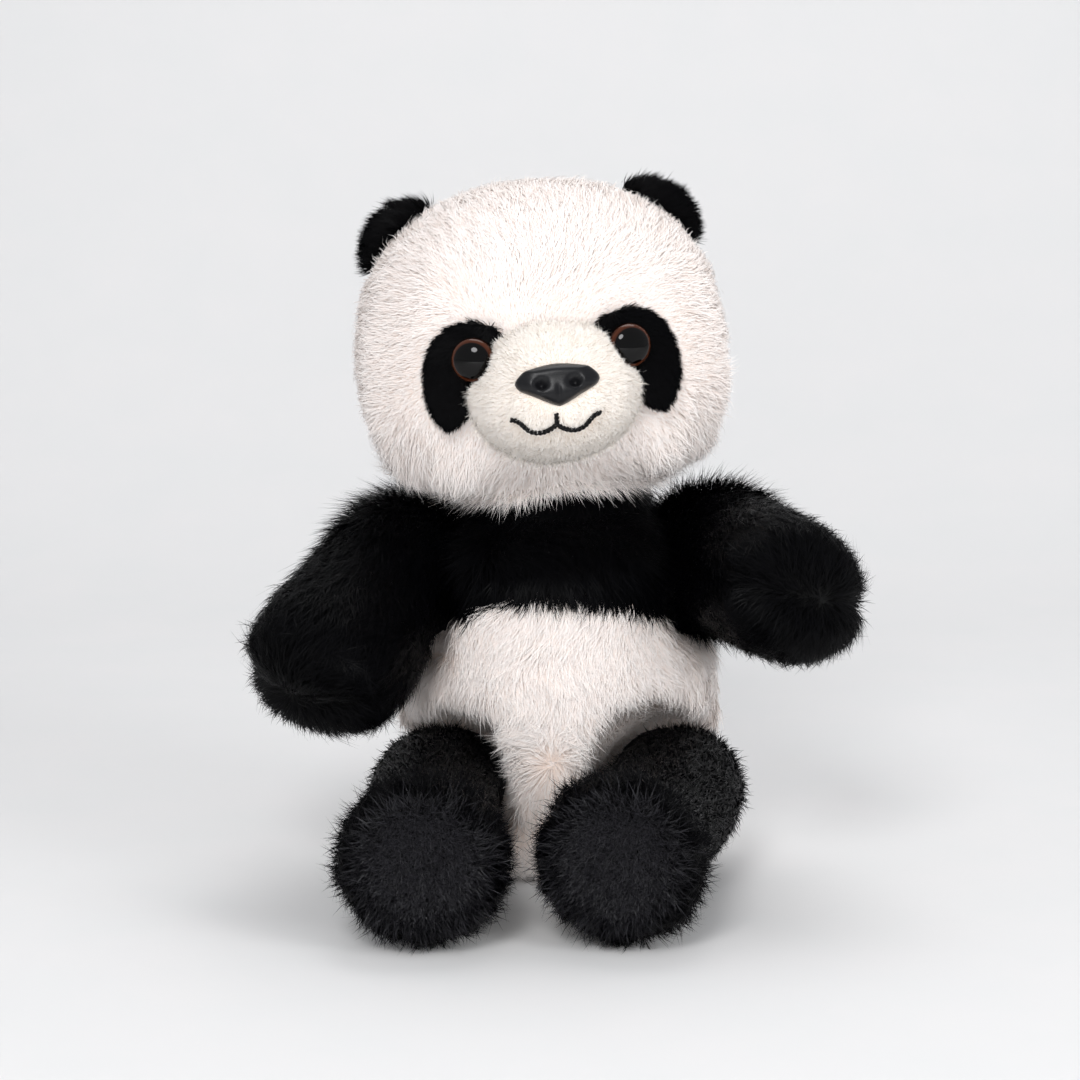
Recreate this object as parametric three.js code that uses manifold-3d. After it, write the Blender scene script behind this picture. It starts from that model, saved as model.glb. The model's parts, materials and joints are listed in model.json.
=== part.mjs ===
// A plush panda that sits on its seat with its legs forward, built from the pieces it is sewn from.
//
// Units are millimetres and +Z is up. The panda looks along -Y, so its own left side is at +X.
// The origin is on the ground, at the middle of the flat seat.
// Fur fabric is drawn as its backing and its pressed pile together, in one wall.
// Head, arms and legs are balls that turn in hollows of the torso, each with a sewn ring between them.

import * as THREE from "three";
import { mergeVertices } from "three/addons/utils/BufferGeometryUtils.js";
import Module from "manifold-3d";

const wasm = await Module();
wasm.setup();

// ---------------------------------------------------------------- driving sizes

// Fabric, stuffing and sewing
const FABRIC_WALL = 3.2; // fur fabric, with its pile pressed flat
const SEAM_GAP = 0.4; // between two panels that are sewn edge to edge
const FIT_GAP = 0.5; // between a cover and what fills it or lies on it
const THREAD_RADIUS = 0.7;

// A sewn joint: limb ball, ring of seam allowance, hollow
const RING_WALL = 1.2;
const RING_CLEARANCE = 1.2; // on each side of the ring
const RING_INNER_ANGLE = 22; // degrees from the ring's axis to its smaller edge
const RING_OUTER_ANGLE = 42;
const SWING_CLEARANCE = 2.0; // between the torso and a limb that swings past it

// Torso: half width at each height, and its depth as a share of its width
const TORSO_HALF_WIDTH = 68;
const TORSO_DEPTH_SHARE = 0.84;
const SHOULDER_HEIGHT = 125;
const SIDE_SEAM_Y = 4;
const BELLY_SEAM_TOP = 120.5; // the white belly's upper edge at the middle
const BELLY_SEAM_SIDE = 89; // and at the side seams

// Neck
const NECK_BALL_RADIUS = 33;
const NECK_HEIGHT = 150;

// Head
const HEAD_HALF_WIDTH = 77;
const HEAD_HALF_DEPTH = 61;
const HEAD_UP = 64; // centre to crown
const HEAD_DOWN = 62; // centre to chin
const HEAD_CENTRE = new THREE.Vector3(-8, -2, 217);
const HEAD_TILT = 5; // degrees, towards the panda's right shoulder
const HEAD_TURN = 4; // degrees, towards its left
const CROWN_SQUARENESS = 2.15; // 2 is a true ellipse
const CHEEK_SQUARENESS = 3.5;

// Muzzle, nose, mouth, eyes, ears, in the head's own frame
const MUZZLE_CENTRE = new THREE.Vector3(0, -52, -15);
const MUZZLE_RADII = new THREE.Vector3(34, 36, 27);
const MUZZLE_WALL = 2.2;
const NOSE_WIDTH = 30;
const NOSE_HEIGHT = 15;
const NOSE_THICKNESS = 6;
const NOSE_HEIGHT_ON_MUZZLE = -10.5;
const NOSE_SINK = 2.5; // how deep its back sits in the muzzle
const NOSE_LEAN = 18; // degrees that its face looks up
const MOUTH_TOP = -19.8;
const MOUTH_FORK = -25.6;
const MOUTH_HALF_WIDTH = 16.5;
const MOUTH_SAG = 2.2; // how far each curl dips below the fork
const MOUTH_LIFT = 4; // and how far its end rises over it
const MOUTH_OFF_CENTRE = -1.8; // hand sewing sets it a little to one side
const EYE_RADIUS = 8.5;
const EYE_DOME = 5; // height of the dome over its rim
const EYE_RIM = 1.5; // thickness of the rim under the dome
const EYE_PROUD = 1.2; // from the patch's top to the middle of the rim
const EYE_SPREAD = 30; // middle of the head to middle of an eye
const EYE_HEIGHT = 0;
const EYE_TURN = 14; // degrees that each eye looks outwards
const EYE_RISE = 0.03; // and how little it looks up, as a slope
const SHANK_RADIUS = 2.2;
const SHANK_CLEARANCE = 0.4;
const SHANK_BEYOND_WASHER = 1.2;
const SHANK_SLACK = 5; // spare shank between the cloth and the washer
const WASHER_RADIUS = 7;
const WASHER_THICKNESS = 1.6;
const PATCH_WALL = 1.8;
const EAR_RADIUS = 20;
const EAR_THICKNESS = 13;
const EAR_SPREAD = 48.5;
const EAR_HEIGHT = 39.5;
const EAR_BACK = 9;
const EAR_SEAM_Y = 9;

// Arms, each along -Z of its own frame, from the shoulder's pivot
const ARM_BALL_RADIUS = 27;
const ARM_LENGTH = 95; // pivot to the tip of the paw
const PAW_RADIUS = 36.8;
const PAW_FLATNESS = 0.78; // thickness over width at the paw
const SHOULDER_SPREAD = TORSO_HALF_WIDTH - 8; // the pivot, just inside the torso's side

// Legs, each along -Z of its own frame, from the hip's pivot
const LEG_BALL_RADIUS = 28;
const LEG_LENGTH = 121; // pivot to the rim of the sole
const FOOT_RADIUS = 35;
const SOLE_RADIUS = 25;
const SOLE_BULGE = 3;
const HIP_SPREAD = TORSO_HALF_WIDTH - 19;
const HIP_FORWARD = 20;
const HIP_HEIGHT = 34;
const FOOT_CENTRE_HEIGHT = FOOT_RADIUS - 0.7; // so that the ground flattens the heel a little

// What lies inside the torso and behind it
const PELLET_BAG_RADII = new THREE.Vector3(27, 24, 11);
const PELLET_BAG_CENTRE = new THREE.Vector3(0, 16, 20);
const TAIL_RADIUS = 15;
const TAIL_HEIGHT = 30;
const CLOSING_SEAM_LOW = 94;
const CLOSING_SEAM_HIGH = 128;
const CLOSING_STITCHES = 7;
const CLOSING_STITCH_SWAY = 1.2;

// Roundness of the faceted solids
const AROUND = 16;
const ALONG = 10;
const SMALL_AROUND = 12;
const SMALL_ALONG = 8;
const FAR = 400; // reach of a cutting block

// ---------------------------------------------------------------- materials

const finish = (color, roughness, metalness = 0) =>
  new THREE.MeshStandardMaterial({ color, roughness, metalness });
const WHITE_FUR = finish(0xf3ece6, 0.95);
const BLACK_FUR = finish(0x121214, 0.9);
const CREAM_PLUSH = finish(0xf7efe2, 0.95);
const BLACK_PLUSH = finish(0x0b0b0d, 0.95);
const BLACK_PLASTIC = finish(0x1b1b1d, 0.4);
const EYE_PLASTIC = finish(0x1a0d08, 0.08);
const WASHER_PLASTIC = finish(0xe8e6e0, 0.5);
const BLACK_THREAD = finish(0x101010, 0.7);
const WHITE_THREAD = finish(0xe9e4dc, 0.7);
const FIBREFILL = finish(0xfafafa, 1);
const PELLET_CLOTH = finish(0xd8d4cc, 0.9);

// ---------------------------------------------------------------- tools for solids

const rad = THREE.MathUtils.degToRad;

// A closed three.js geometry as a manifold solid.
function solidOf(geometry) {
  const bare = geometry.clone();
  bare.deleteAttribute("normal");
  bare.deleteAttribute("uv");
  const merged = mergeVertices(bare, 1e-4);
  const kept = [];
  const index = merged.index.array;
  for (let i = 0; i < index.length; i += 3) {
    const [a, b, c] = index.slice(i, i + 3);
    if (a !== b && b !== c && c !== a) kept.push(a, b, c);
  }
  return new wasm.Manifold(
    new wasm.Mesh({
      numProp: 3,
      vertProperties: merged.attributes.position.array,
      triVerts: new Uint32Array(kept),
    }),
  );
}

// A manifold solid as a three.js mesh. Crumbs that a cut leaves behind are dropped.
function meshOf(name, solid, material) {
  const whole = solid.decompose().sort((a, b) => b.volume() - a.volume())[0];
  const made = whole.getMesh();
  const geometry = new THREE.BufferGeometry();
  geometry.setAttribute("position", new THREE.BufferAttribute(made.vertProperties, 3));
  geometry.setIndex(new THREE.BufferAttribute(made.triVerts, 1));
  geometry.computeVertexNormals();
  const mesh = new THREE.Mesh(geometry, material);
  mesh.name = name;
  return mesh;
}

const moved = (solid, matrix) => solid.transform(matrix.elements);
const joined = (solids) => solids.reduce((a, b) => a.add(b));
const shifted = (x, y, z) => new THREE.Matrix4().makeTranslation(x, y, z);

// A body of revolution about Z, from [radius, height] points that start and end on the axis.
function turned(points, around = AROUND) {
  const profile = points.map(([radius, height]) => new THREE.Vector2(radius, height));
  return new THREE.LatheGeometry(profile, around).rotateX(Math.PI / 2);
}

// The same points with smooth ones put between them.
function smoothed(points, count) {
  const curve = new THREE.SplineCurve(points.map(([x, y]) => new THREE.Vector2(x, y)));
  return curve.getPoints(count).map((p) => [Math.max(p.x, 0), p.y]);
}

// Moves every vertex of a geometry by a function of its place.
function shaped(geometry, change) {
  const place = geometry.attributes.position;
  const v = new THREE.Vector3();
  for (let i = 0; i < place.count; i++) {
    change(v.fromBufferAttribute(place, i));
    place.setXYZ(i, v.x, v.y, v.z);
  }
  return geometry;
}

function sphere(radius, around = AROUND, along = ALONG) {
  return new THREE.SphereGeometry(radius, around, along).rotateX(Math.PI / 2);
}

function ellipsoid(radii, centre, around = AROUND, along = ALONG) {
  const unit = sphere(1, around, along).scale(radii.x, radii.y, radii.z);
  return solidOf(unit.translate(centre.x, centre.y, centre.z));
}

// A block with its low corner and high corner at these places.
function block(low, high) {
  const size = new THREE.Vector3().subVectors(high, low);
  const middle = new THREE.Vector3().addVectors(low, high).multiplyScalar(0.5);
  const box = new THREE.BoxGeometry(size.x, size.y, size.z);
  return solidOf(box.translate(middle.x, middle.y, middle.z));
}

const vec = (x, y, z) => new THREE.Vector3(x, y, z);
const inFrontOf = (y) => block(vec(-FAR, -FAR, -FAR), vec(FAR, y, FAR));
const behind = (y) => block(vec(-FAR, y, -FAR), vec(FAR, FAR, FAR));
const below = (z) => block(vec(-FAR, -FAR, -FAR), vec(FAR, FAR, z));
const above = (z) => block(vec(-FAR, -FAR, z), vec(FAR, FAR, FAR));

// A rod along Z between two heights.
function rod(radius, low, high, around = SMALL_AROUND) {
  const cylinder = new THREE.CylinderGeometry(radius, radius, high - low, around);
  return solidOf(cylinder.rotateX(Math.PI / 2).translate(0, 0, (low + high) / 2));
}

// A frame whose -Z looks along a direction, with X as near as it can be to another.
function aimed(place, direction, wide) {
  const z = direction.clone().normalize().negate();
  const x = wide.clone().addScaledVector(z, -wide.dot(z)).normalize();
  const y = new THREE.Vector3().crossVectors(z, x);
  return new THREE.Matrix4().makeBasis(x, y, z).setPosition(place);
}

// A frame whose +Z looks out of a surface: used for eyes, the nose and the rings.
const facing = (place, outwards, wide = vec(1, 0, 0)) =>
  aimed(place, outwards.clone().negate(), wide);

const inverse = (matrix) => matrix.clone().invert();

function groupAt(matrix, ...meshes) {
  const group = new THREE.Group();
  matrix.decompose(group.position, group.quaternion, group.scale);
  group.add(...meshes);
  return group;
}

// ---------------------------------------------------------------- sewn joints

const HOLLOW_GAP = 2 * RING_CLEARANCE + RING_WALL; // limb ball to hollow

// The ring of seam allowance round a limb's ball. It opens along its own +Z.
function seamRing(ballRadius) {
  const inner = ballRadius + RING_CLEARANCE;
  const outer = inner + RING_WALL;
  const steps = 2;
  const arc = (radius, from, to) =>
    Array.from({ length: steps + 1 }, (_, i) => {
      const angle = rad(from + ((to - from) * i) / steps);
      return [radius * Math.sin(angle), radius * Math.cos(angle)];
    });
  const section = [
    ...arc(outer, RING_OUTER_ANGLE, RING_INNER_ANGLE),
    ...arc(inner, RING_INNER_ANGLE, RING_OUTER_ANGLE),
  ];
  return solidOf(turned([...section, section[0]]));
}

// ---------------------------------------------------------------- arm

// An arm drawn in by an offset, in its own frame. Its shoulder end is a true ball.
function armBody(offset) {
  const ball = ARM_BALL_RADIUS - offset;
  const paw = PAW_RADIUS - offset;
  const tip = ARM_LENGTH - offset;
  const quarter = [0, 30, 60].map((a) => [ball * Math.sin(rad(a)), ball * Math.cos(rad(a))]);
  const rest = smoothed(
    [
      [ball, 0],
      [ball + 0.5, -0.2 * ARM_LENGTH],
      [(ball + paw) / 2, -0.4 * ARM_LENGTH],
      [paw, -0.62 * ARM_LENGTH],
      [0.9 * paw, -0.8 * ARM_LENGTH],
      [0.55 * paw, -0.95 * ARM_LENGTH + 0.8 * offset],
      [0, -tip],
    ],
    8,
  );
  return solidOf(shaped(turned([...quarter, ...rest].reverse()), flattenPaw));
}

function flattenPaw(v) {
  const along = THREE.MathUtils.smoothstep(-v.z, 0.1 * ARM_LENGTH, 0.55 * ARM_LENGTH);
  v.y *= 1 - (1 - PAW_FLATNESS) * along;
}

// The room an arm takes, grown by an offset: its ball end is left to the joint.
function armRoom(offset) {
  const upper = ARM_BALL_RADIUS + 1 + offset;
  const paw = PAW_RADIUS + offset;
  const outline = [
    [0, -1.1 * ARM_LENGTH],
    [paw, -1.1 * ARM_LENGTH],
    [paw, -0.55 * ARM_LENGTH],
    [upper, -0.2 * ARM_LENGTH],
    [upper, 0],
    [0, 0],
  ];
  return solidOf(shaped(turned(outline), flattenPaw));
}

function armPieces(side) {
  const shell = armBody(0).subtract(armBody(FABRIC_WALL));
  const half = SEAM_GAP / 2;
  return [
    meshOf(`arm_outer_panel_${side}`, shell.intersect(inFrontOf(-half)), BLACK_FUR),
    meshOf(`arm_palm_panel_${side}`, shell.intersect(behind(half)), BLACK_FUR),
    meshOf(`arm_stuffing_${side}`, armBody(FABRIC_WALL + FIT_GAP), FIBREFILL),
  ];
}

// ---------------------------------------------------------------- leg

// A leg drawn in by an offset, in its own frame, before the ground flattens its heel.
function legBody(offset) {
  const ball = LEG_BALL_RADIUS - offset;
  const foot = FOOT_RADIUS - offset;
  const rim = LEG_LENGTH - offset;
  const quarter = [0, 30, 60].map((a) => [ball * Math.sin(rad(a)), ball * Math.cos(rad(a))]);
  const rest = smoothed(
    [
      [ball, 0],
      [ball + 0.5, -0.3 * LEG_LENGTH],
      [ball - 0.5, -0.58 * LEG_LENGTH],
      [0.9 * foot, -0.76 * LEG_LENGTH],
      [foot, -0.9 * LEG_LENGTH],
      [0.93 * foot, -rim + 3],
      [SOLE_RADIUS, -rim],
    ],
    8,
  );
  const sole = [
    [0.55 * SOLE_RADIUS, -rim - 0.7 * SOLE_BULGE],
    [0, -rim - SOLE_BULGE],
  ];
  return solidOf(turned([...quarter, ...rest, ...sole].reverse()));
}

// The room a thigh takes, grown by an offset.
const thighRoom = (offset) => rod(LEG_BALL_RADIUS + 1 + offset, -0.7 * LEG_LENGTH, 0, AROUND);

function legPieces(side, frame) {
  const ground = (offset) => moved(below(offset), inverse(frame));
  const outer = (offset) => legBody(offset).subtract(ground(offset));
  const shell = outer(0).subtract(outer(FABRIC_WALL));
  const soleCut = (radius) => rod(radius, -FAR, -0.8 * LEG_LENGTH, AROUND);
  const panels = shell.subtract(soleCut(SOLE_RADIUS + SEAM_GAP));
  const half = SEAM_GAP / 2;
  return [
    meshOf(`leg_top_panel_${side}`, panels.intersect(inFrontOf(-half)), BLACK_FUR),
    meshOf(`leg_under_panel_${side}`, panels.intersect(behind(half)), BLACK_FUR),
    meshOf(`foot_sole_${side}`, shell.intersect(soleCut(SOLE_RADIUS)), BLACK_PLUSH),
    meshOf(`leg_stuffing_${side}`, outer(FABRIC_WALL + FIT_GAP), FIBREFILL),
  ];
}

// ---------------------------------------------------------------- frames of the moving pieces

const NECK = vec(0, 0, NECK_HEIGHT);
const headFrame = shifted(...HEAD_CENTRE.toArray())
  .multiply(new THREE.Matrix4().makeRotationZ(rad(HEAD_TURN)))
  .multiply(new THREE.Matrix4().makeRotationY(rad(-HEAD_TILT)));

// The right arm hangs forwards and outwards. The left arm is held out to the front.
const armFrames = {
  right: aimed(
    vec(-SHOULDER_SPREAD, 0, SHOULDER_HEIGHT),
    vec(-27, -43, -29),
    vec(1, -0.2, 0),
  ),
  left: aimed(vec(SHOULDER_SPREAD, 0, SHOULDER_HEIGHT), vec(33, -75, -1), vec(0.87, 0, -0.5)),
};

// Both legs lie forwards. The left one turns in towards the right.
const hipOf = (sign) => vec(sign * HIP_SPREAD, -HIP_FORWARD, HIP_HEIGHT);
const footRise = FOOT_CENTRE_HEIGHT - HIP_HEIGHT;
const legFrames = {
  right: aimed(hipOf(-1), vec(-3, -LEG_LENGTH, footRise), vec(1, 0, 0)),
  left: aimed(hipOf(1), vec(-31, -LEG_LENGTH, footRise), vec(1, 0, 0)),
};

// ---------------------------------------------------------------- torso

// The torso's outline drawn in by an offset, before the limbs' hollows.
function torsoForm(offset) {
  const w = TORSO_HALF_WIDTH;
  const neck = NECK_BALL_RADIUS - offset;
  const outline = smoothed(
    [
      [0.72 * w, 0],
      [0.89 * w, 12],
      [w, 45],
      [0.965 * w, 78],
      [0.91 * w, 105],
      [0.84 * w, 125],
      [0.68 * w, 139],
      [NECK_BALL_RADIUS + 0.3, NECK_HEIGHT - 5],
      [NECK_BALL_RADIUS, NECK_HEIGHT],
    ],
    9,
  );
  const drawnIn = outline.map(([r, h]) => [r - offset, h]);
  drawnIn[0] = [outline[0][0] - 1.4 * offset, offset];
  const crown = [30, 60].map((a) => [
    neck * Math.cos(rad(a)),
    NECK_HEIGHT + neck * Math.sin(rad(a)),
  ]);
  const top = [0, NECK_HEIGHT + neck];
  const whole = turned([[0, offset], ...drawnIn, ...crown, top]);
  const deepen = (v) => {
    const up = THREE.MathUtils.smoothstep(v.z, 0.7 * NECK_HEIGHT, NECK_HEIGHT - 6);
    v.y *= TORSO_DEPTH_SHARE + (1 - TORSO_DEPTH_SHARE) * up;
  };
  return solidOf(shaped(whole, deepen));
}

// The space that the limbs turn in, grown by an offset.
const swungUp = (frame, degrees) => {
  const pivot = new THREE.Vector3().setFromMatrixPosition(frame);
  return shifted(...pivot.toArray())
    .multiply(new THREE.Matrix4().makeRotationX(rad(degrees)))
    .multiply(shifted(...pivot.negate().toArray()))
    .multiply(frame);
};

function limbHollow(frame, ballRadius, room, swings, offset) {
  const pivot = new THREE.Vector3().setFromMatrixPosition(frame);
  const ball = ellipsoid(
    vec(1, 1, 1).multiplyScalar(ballRadius + HOLLOW_GAP + offset),
    pivot,
  );
  const grown = room(SWING_CLEARANCE + offset);
  const swept = swings.map((degrees) => moved(grown, swungUp(frame, degrees)));
  return joined([ball, ...swept]);
}

const UPRIGHT = vec(0, 0, 1);
const LEG_SWINGS = [0, -24];
const ARM_SWINGS = { right: [8, 0, -28, -50], left: [20, 0, -24] };

function hollows(offset) {
  const arms = ["right", "left"].map((side) =>
    limbHollow(armFrames[side], ARM_BALL_RADIUS, armRoom, ARM_SWINGS[side], offset),
  );
  const legs = ["right", "left"].map((side) =>
    limbHollow(legFrames[side], LEG_BALL_RADIUS, thighRoom, LEG_SWINGS, offset),
  );
  return joined([...arms, ...legs]);
}

const torsoBody = (offset) => torsoForm(offset).subtract(hollows(offset));

// Everything under the arched seam between the black chest and the white belly.
function underArch(offset) {
  const wide = 1.3 * TORSO_HALF_WIDTH;
  const drop = (BELLY_SEAM_TOP - BELLY_SEAM_SIDE) * (wide / TORSO_HALF_WIDTH) ** 2;
  const outline = new THREE.Shape();
  outline.moveTo(-wide, -FAR);
  outline.lineTo(wide, -FAR);
  outline.lineTo(wide, BELLY_SEAM_TOP - drop + offset);
  outline.quadraticCurveTo(
    0,
    BELLY_SEAM_TOP + drop + offset,
    -wide,
    BELLY_SEAM_TOP - drop + offset,
  );
  outline.closePath();
  const made = new THREE.ExtrudeGeometry(outline, {
    depth: 2 * FAR,
    bevelEnabled: false,
    curveSegments: 8,
  });
  return solidOf(made.translate(0, 0, -FAR).rotateX(Math.PI / 2));
}

// How far back the torso's outline reaches at a height, by a thin slice of it.
const torsoOutline = torsoForm(0);
function torsoBackAt(height) {
  const slice = torsoOutline.intersect(block(vec(-4, 0, height - 2), vec(4, FAR, height + 2)));
  return slice.boundingBox().max[1];
}

const tailSolid = ellipsoid(
  vec(TAIL_RADIUS, TAIL_RADIUS, TAIL_RADIUS),
  vec(0, torsoBackAt(TAIL_HEIGHT), TAIL_HEIGHT),
  SMALL_AROUND,
  SMALL_ALONG,
);

// Stitches that close the back after stuffing: one thread with a small bend at each stitch.
function closingStitches() {
  const points = Array.from({ length: CLOSING_STITCHES + 1 }, (_, i) => {
    const share = i / CLOSING_STITCHES;
    const height = THREE.MathUtils.lerp(CLOSING_SEAM_LOW, CLOSING_SEAM_HIGH, share);
    const sideways = (i % 2 ? 1 : -1) * CLOSING_STITCH_SWAY;
    return vec(sideways, torsoBackAt(height) + THREAD_RADIUS + FIT_GAP, height);
  });
  return threadAlong(points, 2 * CLOSING_STITCHES);
}

// Thread along points, as a tube with eight sides.
function threadAlong(points, steps) {
  const section = new THREE.Shape();
  section.absarc(0, 0, THREAD_RADIUS, 0, 2 * Math.PI);
  const made = new THREE.ExtrudeGeometry(section, {
    steps,
    curveSegments: 4,
    extrudePath: new THREE.CatmullRomCurve3(points),
  });
  return solidOf(made);
}

function torsoPieces() {
  const half = SEAM_GAP / 2;
  const outer = torsoBody(0);
  const shell = outer.subtract(torsoBody(FABRIC_WALL));
  const front = shell.intersect(inFrontOf(SIDE_SEAM_Y - half));
  const back = shell.intersect(behind(SIDE_SEAM_Y + half));
  const bag = ellipsoid(PELLET_BAG_RADII, PELLET_BAG_CENTRE, SMALL_AROUND, SMALL_ALONG);
  const bagRoom = ellipsoid(
    PELLET_BAG_RADII.clone().addScalar(FIT_GAP),
    PELLET_BAG_CENTRE,
    SMALL_AROUND,
    SMALL_ALONG,
  );
  // The bag lies on the bottom of the stuffing, so its room is open below.
  const halfSize = PELLET_BAG_RADII.clone().multiplyScalar(0.5);
  const underBag = block(
    PELLET_BAG_CENTRE.clone().sub(halfSize).setZ(-FAR),
    PELLET_BAG_CENTRE.clone().add(halfSize).setZ(PELLET_BAG_CENTRE.z),
  );
  const filling = torsoBody(FABRIC_WALL + FIT_GAP).subtract(bagRoom.add(underBag));
  return [
    meshOf("chest_panel", front.subtract(underArch(half)), BLACK_FUR),
    meshOf("belly_panel", front.intersect(underArch(-half)), WHITE_FUR),
    meshOf("back_upper_panel", back.intersect(above(BELLY_SEAM_SIDE + half)), BLACK_FUR),
    meshOf("back_lower_panel", back.intersect(below(BELLY_SEAM_SIDE - half)), WHITE_FUR),
    meshOf("torso_stuffing", filling, FIBREFILL),
    meshOf("pellet_bag", bag, PELLET_CLOTH),
    meshOf("tail", tailSolid.subtract(torsoForm(-FIT_GAP)), WHITE_FUR),
    meshOf("closing_stitches", closingStitches(), WHITE_THREAD),
  ];
}

// ---------------------------------------------------------------- head

const neckInHead = NECK.clone().applyMatrix4(inverse(headFrame));

// The head drawn in by an offset, in its own frame: a dome over full, square cheeks.
function headForm(offset, around = AROUND, along = ALONG) {
  const swell = (v) => {
    const power = THREE.MathUtils.lerp(
      CHEEK_SQUARENESS,
      CROWN_SQUARENESS,
      THREE.MathUtils.smoothstep(v.z, -0.5, 0.3),
    );
    const height = (v.z > 0 ? HEAD_UP : HEAD_DOWN) - offset;
    const wide = HEAD_HALF_WIDTH - offset;
    const deep = HEAD_HALF_DEPTH - offset;
    const size =
      Math.abs(v.x / wide) ** power +
      Math.abs(v.y / deep) ** power +
      Math.abs(v.z / height) ** power;
    v.multiplyScalar(size ** (-1 / power));
  };
  return solidOf(shaped(sphere(1, around, along), swell));
}

const neckHollow = (offset) =>
  ellipsoid(vec(1, 1, 1).multiplyScalar(NECK_BALL_RADIUS + HOLLOW_GAP + offset), neckInHead);
const headBody = (offset) => headForm(offset).subtract(neckHollow(offset));

// How far forward a solid reaches at a place on the face.
function faceAt(solid, x, z) {
  const probe = 0.6;
  const needle = block(vec(x - probe, -FAR, z - probe), vec(x + probe, 0, z + probe));
  return solid.intersect(needle).boundingBox().min[1];
}

const headOutline = headForm(0);
const muzzleForm = (offset) =>
  ellipsoid(MUZZLE_RADII.clone().addScalar(-offset), MUZZLE_CENTRE);

// Each eye's own frame, with +Z looking out of the face.
const eyeFrames = Object.fromEntries(
  [
    ["right", -1],
    ["left", 1],
  ].map(([side, sign]) => {
    const x = sign * EYE_SPREAD;
    const surface = faceAt(headOutline, x, EYE_HEIGHT) - PATCH_WALL - 2 * FIT_GAP;
    const look = vec(sign * Math.sin(rad(EYE_TURN)), -Math.cos(rad(EYE_TURN)), EYE_RISE);
    return [side, facing(vec(x, surface - EYE_PROUD, EYE_HEIGHT), look)];
  }),
);

// A safety eye: domed front, thin rim and a shank that goes through the face.
const EYE_BACK = -EYE_RIM; // the rim's back, from the eye's frame
const EYE_CLOTH = PATCH_WALL + FABRIC_WALL + 2 * FIT_GAP; // what the shank goes through
const SHANK_END = EYE_BACK - EYE_CLOTH - WASHER_THICKNESS - SHANK_SLACK;
function eyeSolid() {
  const dome = smoothed(
    [
      [EYE_RADIUS, 0],
      [0.86 * EYE_RADIUS, 0.52 * EYE_DOME],
      [0.5 * EYE_RADIUS, 0.87 * EYE_DOME],
      [0, EYE_DOME],
    ],
    5,
  );
  const outline = [
    [0, SHANK_END],
    [SHANK_RADIUS, SHANK_END],
    [SHANK_RADIUS, EYE_BACK],
    [EYE_RADIUS, EYE_BACK],
    ...dome,
  ];
  return solidOf(turned(outline, SMALL_AROUND));
}

// A lock washer on a shank, with its front at a height on the shank.
function washer(front) {
  const ring = rod(WASHER_RADIUS, front - WASHER_THICKNESS, front);
  return ring.subtract(rod(SHANK_RADIUS + SHANK_CLEARANCE, -FAR, FAR));
}
const washerFront = SHANK_END + WASHER_THICKNESS + SHANK_BEYOND_WASHER;
const washerRoom = (front) =>
  rod(WASHER_RADIUS + FIT_GAP, front - WASHER_THICKNESS - 4, front + 4);
const shankHole = rod(SHANK_RADIUS + SHANK_CLEARANCE, -40, 5);

// The outline of one black patch round an eye, for the panda's left side.
function patchPrism(sign) {
  const outline = new THREE.Shape();
  // Places are measured outwards and upwards from the middle of the eye.
  const at = (x, z) => [sign * (EYE_SPREAD + x), EYE_HEIGHT + z];
  outline.moveTo(...at(-9, 12));
  outline.bezierCurveTo(...at(-1, 16), ...at(13, 14), ...at(17, 1));
  outline.bezierCurveTo(...at(21, -11), ...at(18, -22), ...at(11, -26));
  outline.bezierCurveTo(...at(3, -24), ...at(-1, -14), ...at(-7, -9));
  outline.bezierCurveTo(...at(-14, -3), ...at(-15, 6), ...at(-9, 12));
  const made = new THREE.ExtrudeGeometry(outline, {
    depth: FAR,
    bevelEnabled: false,
    curveSegments: 5,
  });
  return solidOf(made.rotateX(Math.PI / 2));
}

// A moulded nose, in its own frame: a rounded triangle, point down, with a shank behind.
const NOSE_SHANK_END = -11;
function nosePlate(grow, thickness) {
  const bevel = 0.3 * NOSE_THICKNESS;
  const w = NOSE_WIDTH / 2 + grow - bevel;
  const h = NOSE_HEIGHT / 2 + grow - bevel;
  const outline = new THREE.Shape();
  outline.moveTo(0, h);
  outline.bezierCurveTo(0.6 * w, h, w, 0.9 * h, w, 0.3 * h);
  outline.bezierCurveTo(w, -0.2 * h, 0.4 * w, -0.4 * h, 0.25 * w, -h);
  outline.lineTo(-0.25 * w, -h);
  outline.bezierCurveTo(-0.4 * w, -0.4 * h, -w, -0.2 * h, -w, 0.3 * h);
  outline.bezierCurveTo(-w, 0.9 * h, -0.6 * w, h, 0, h);
  const plate = new THREE.ExtrudeGeometry(outline, {
    depth: thickness - 2 * bevel,
    bevelThickness: bevel,
    bevelSize: bevel,
    bevelSegments: 2,
    curveSegments: 4,
  });
  return solidOf(plate.translate(0, 0, bevel));
}

const noseSolid = () =>
  nosePlate(0, NOSE_THICKNESS).add(rod(SHANK_RADIUS, NOSE_SHANK_END, 0.5 * NOSE_THICKNESS));

// The mouth: one short thread down from the nose and two that curl up to the cheeks.
function mouthStitches() {
  const lift = THREAD_RADIUS + 1.6 * FIT_GAP;
  const muzzle = muzzleForm(0);
  const at = (offset, z) => {
    const x = MOUTH_OFF_CENTRE + offset;
    return vec(x, faceAt(muzzle, x, z) - lift, z);
  };
  const stem = threadAlong([at(0, MOUTH_TOP), at(0, MOUTH_FORK + 0.6)], 2);
  const smile = [-1, 1].map((sign) => {
    const w = sign * MOUTH_HALF_WIDTH;
    return threadAlong(
      [
        at(0, MOUTH_FORK),
        at(0.3 * w, MOUTH_FORK - MOUTH_SAG),
        at(0.62 * w, MOUTH_FORK - 0.75 * MOUTH_SAG),
        at(w, MOUTH_FORK + MOUTH_LIFT),
      ],
      8,
    );
  });
  return joined([stem, ...smile]);
}

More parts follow.
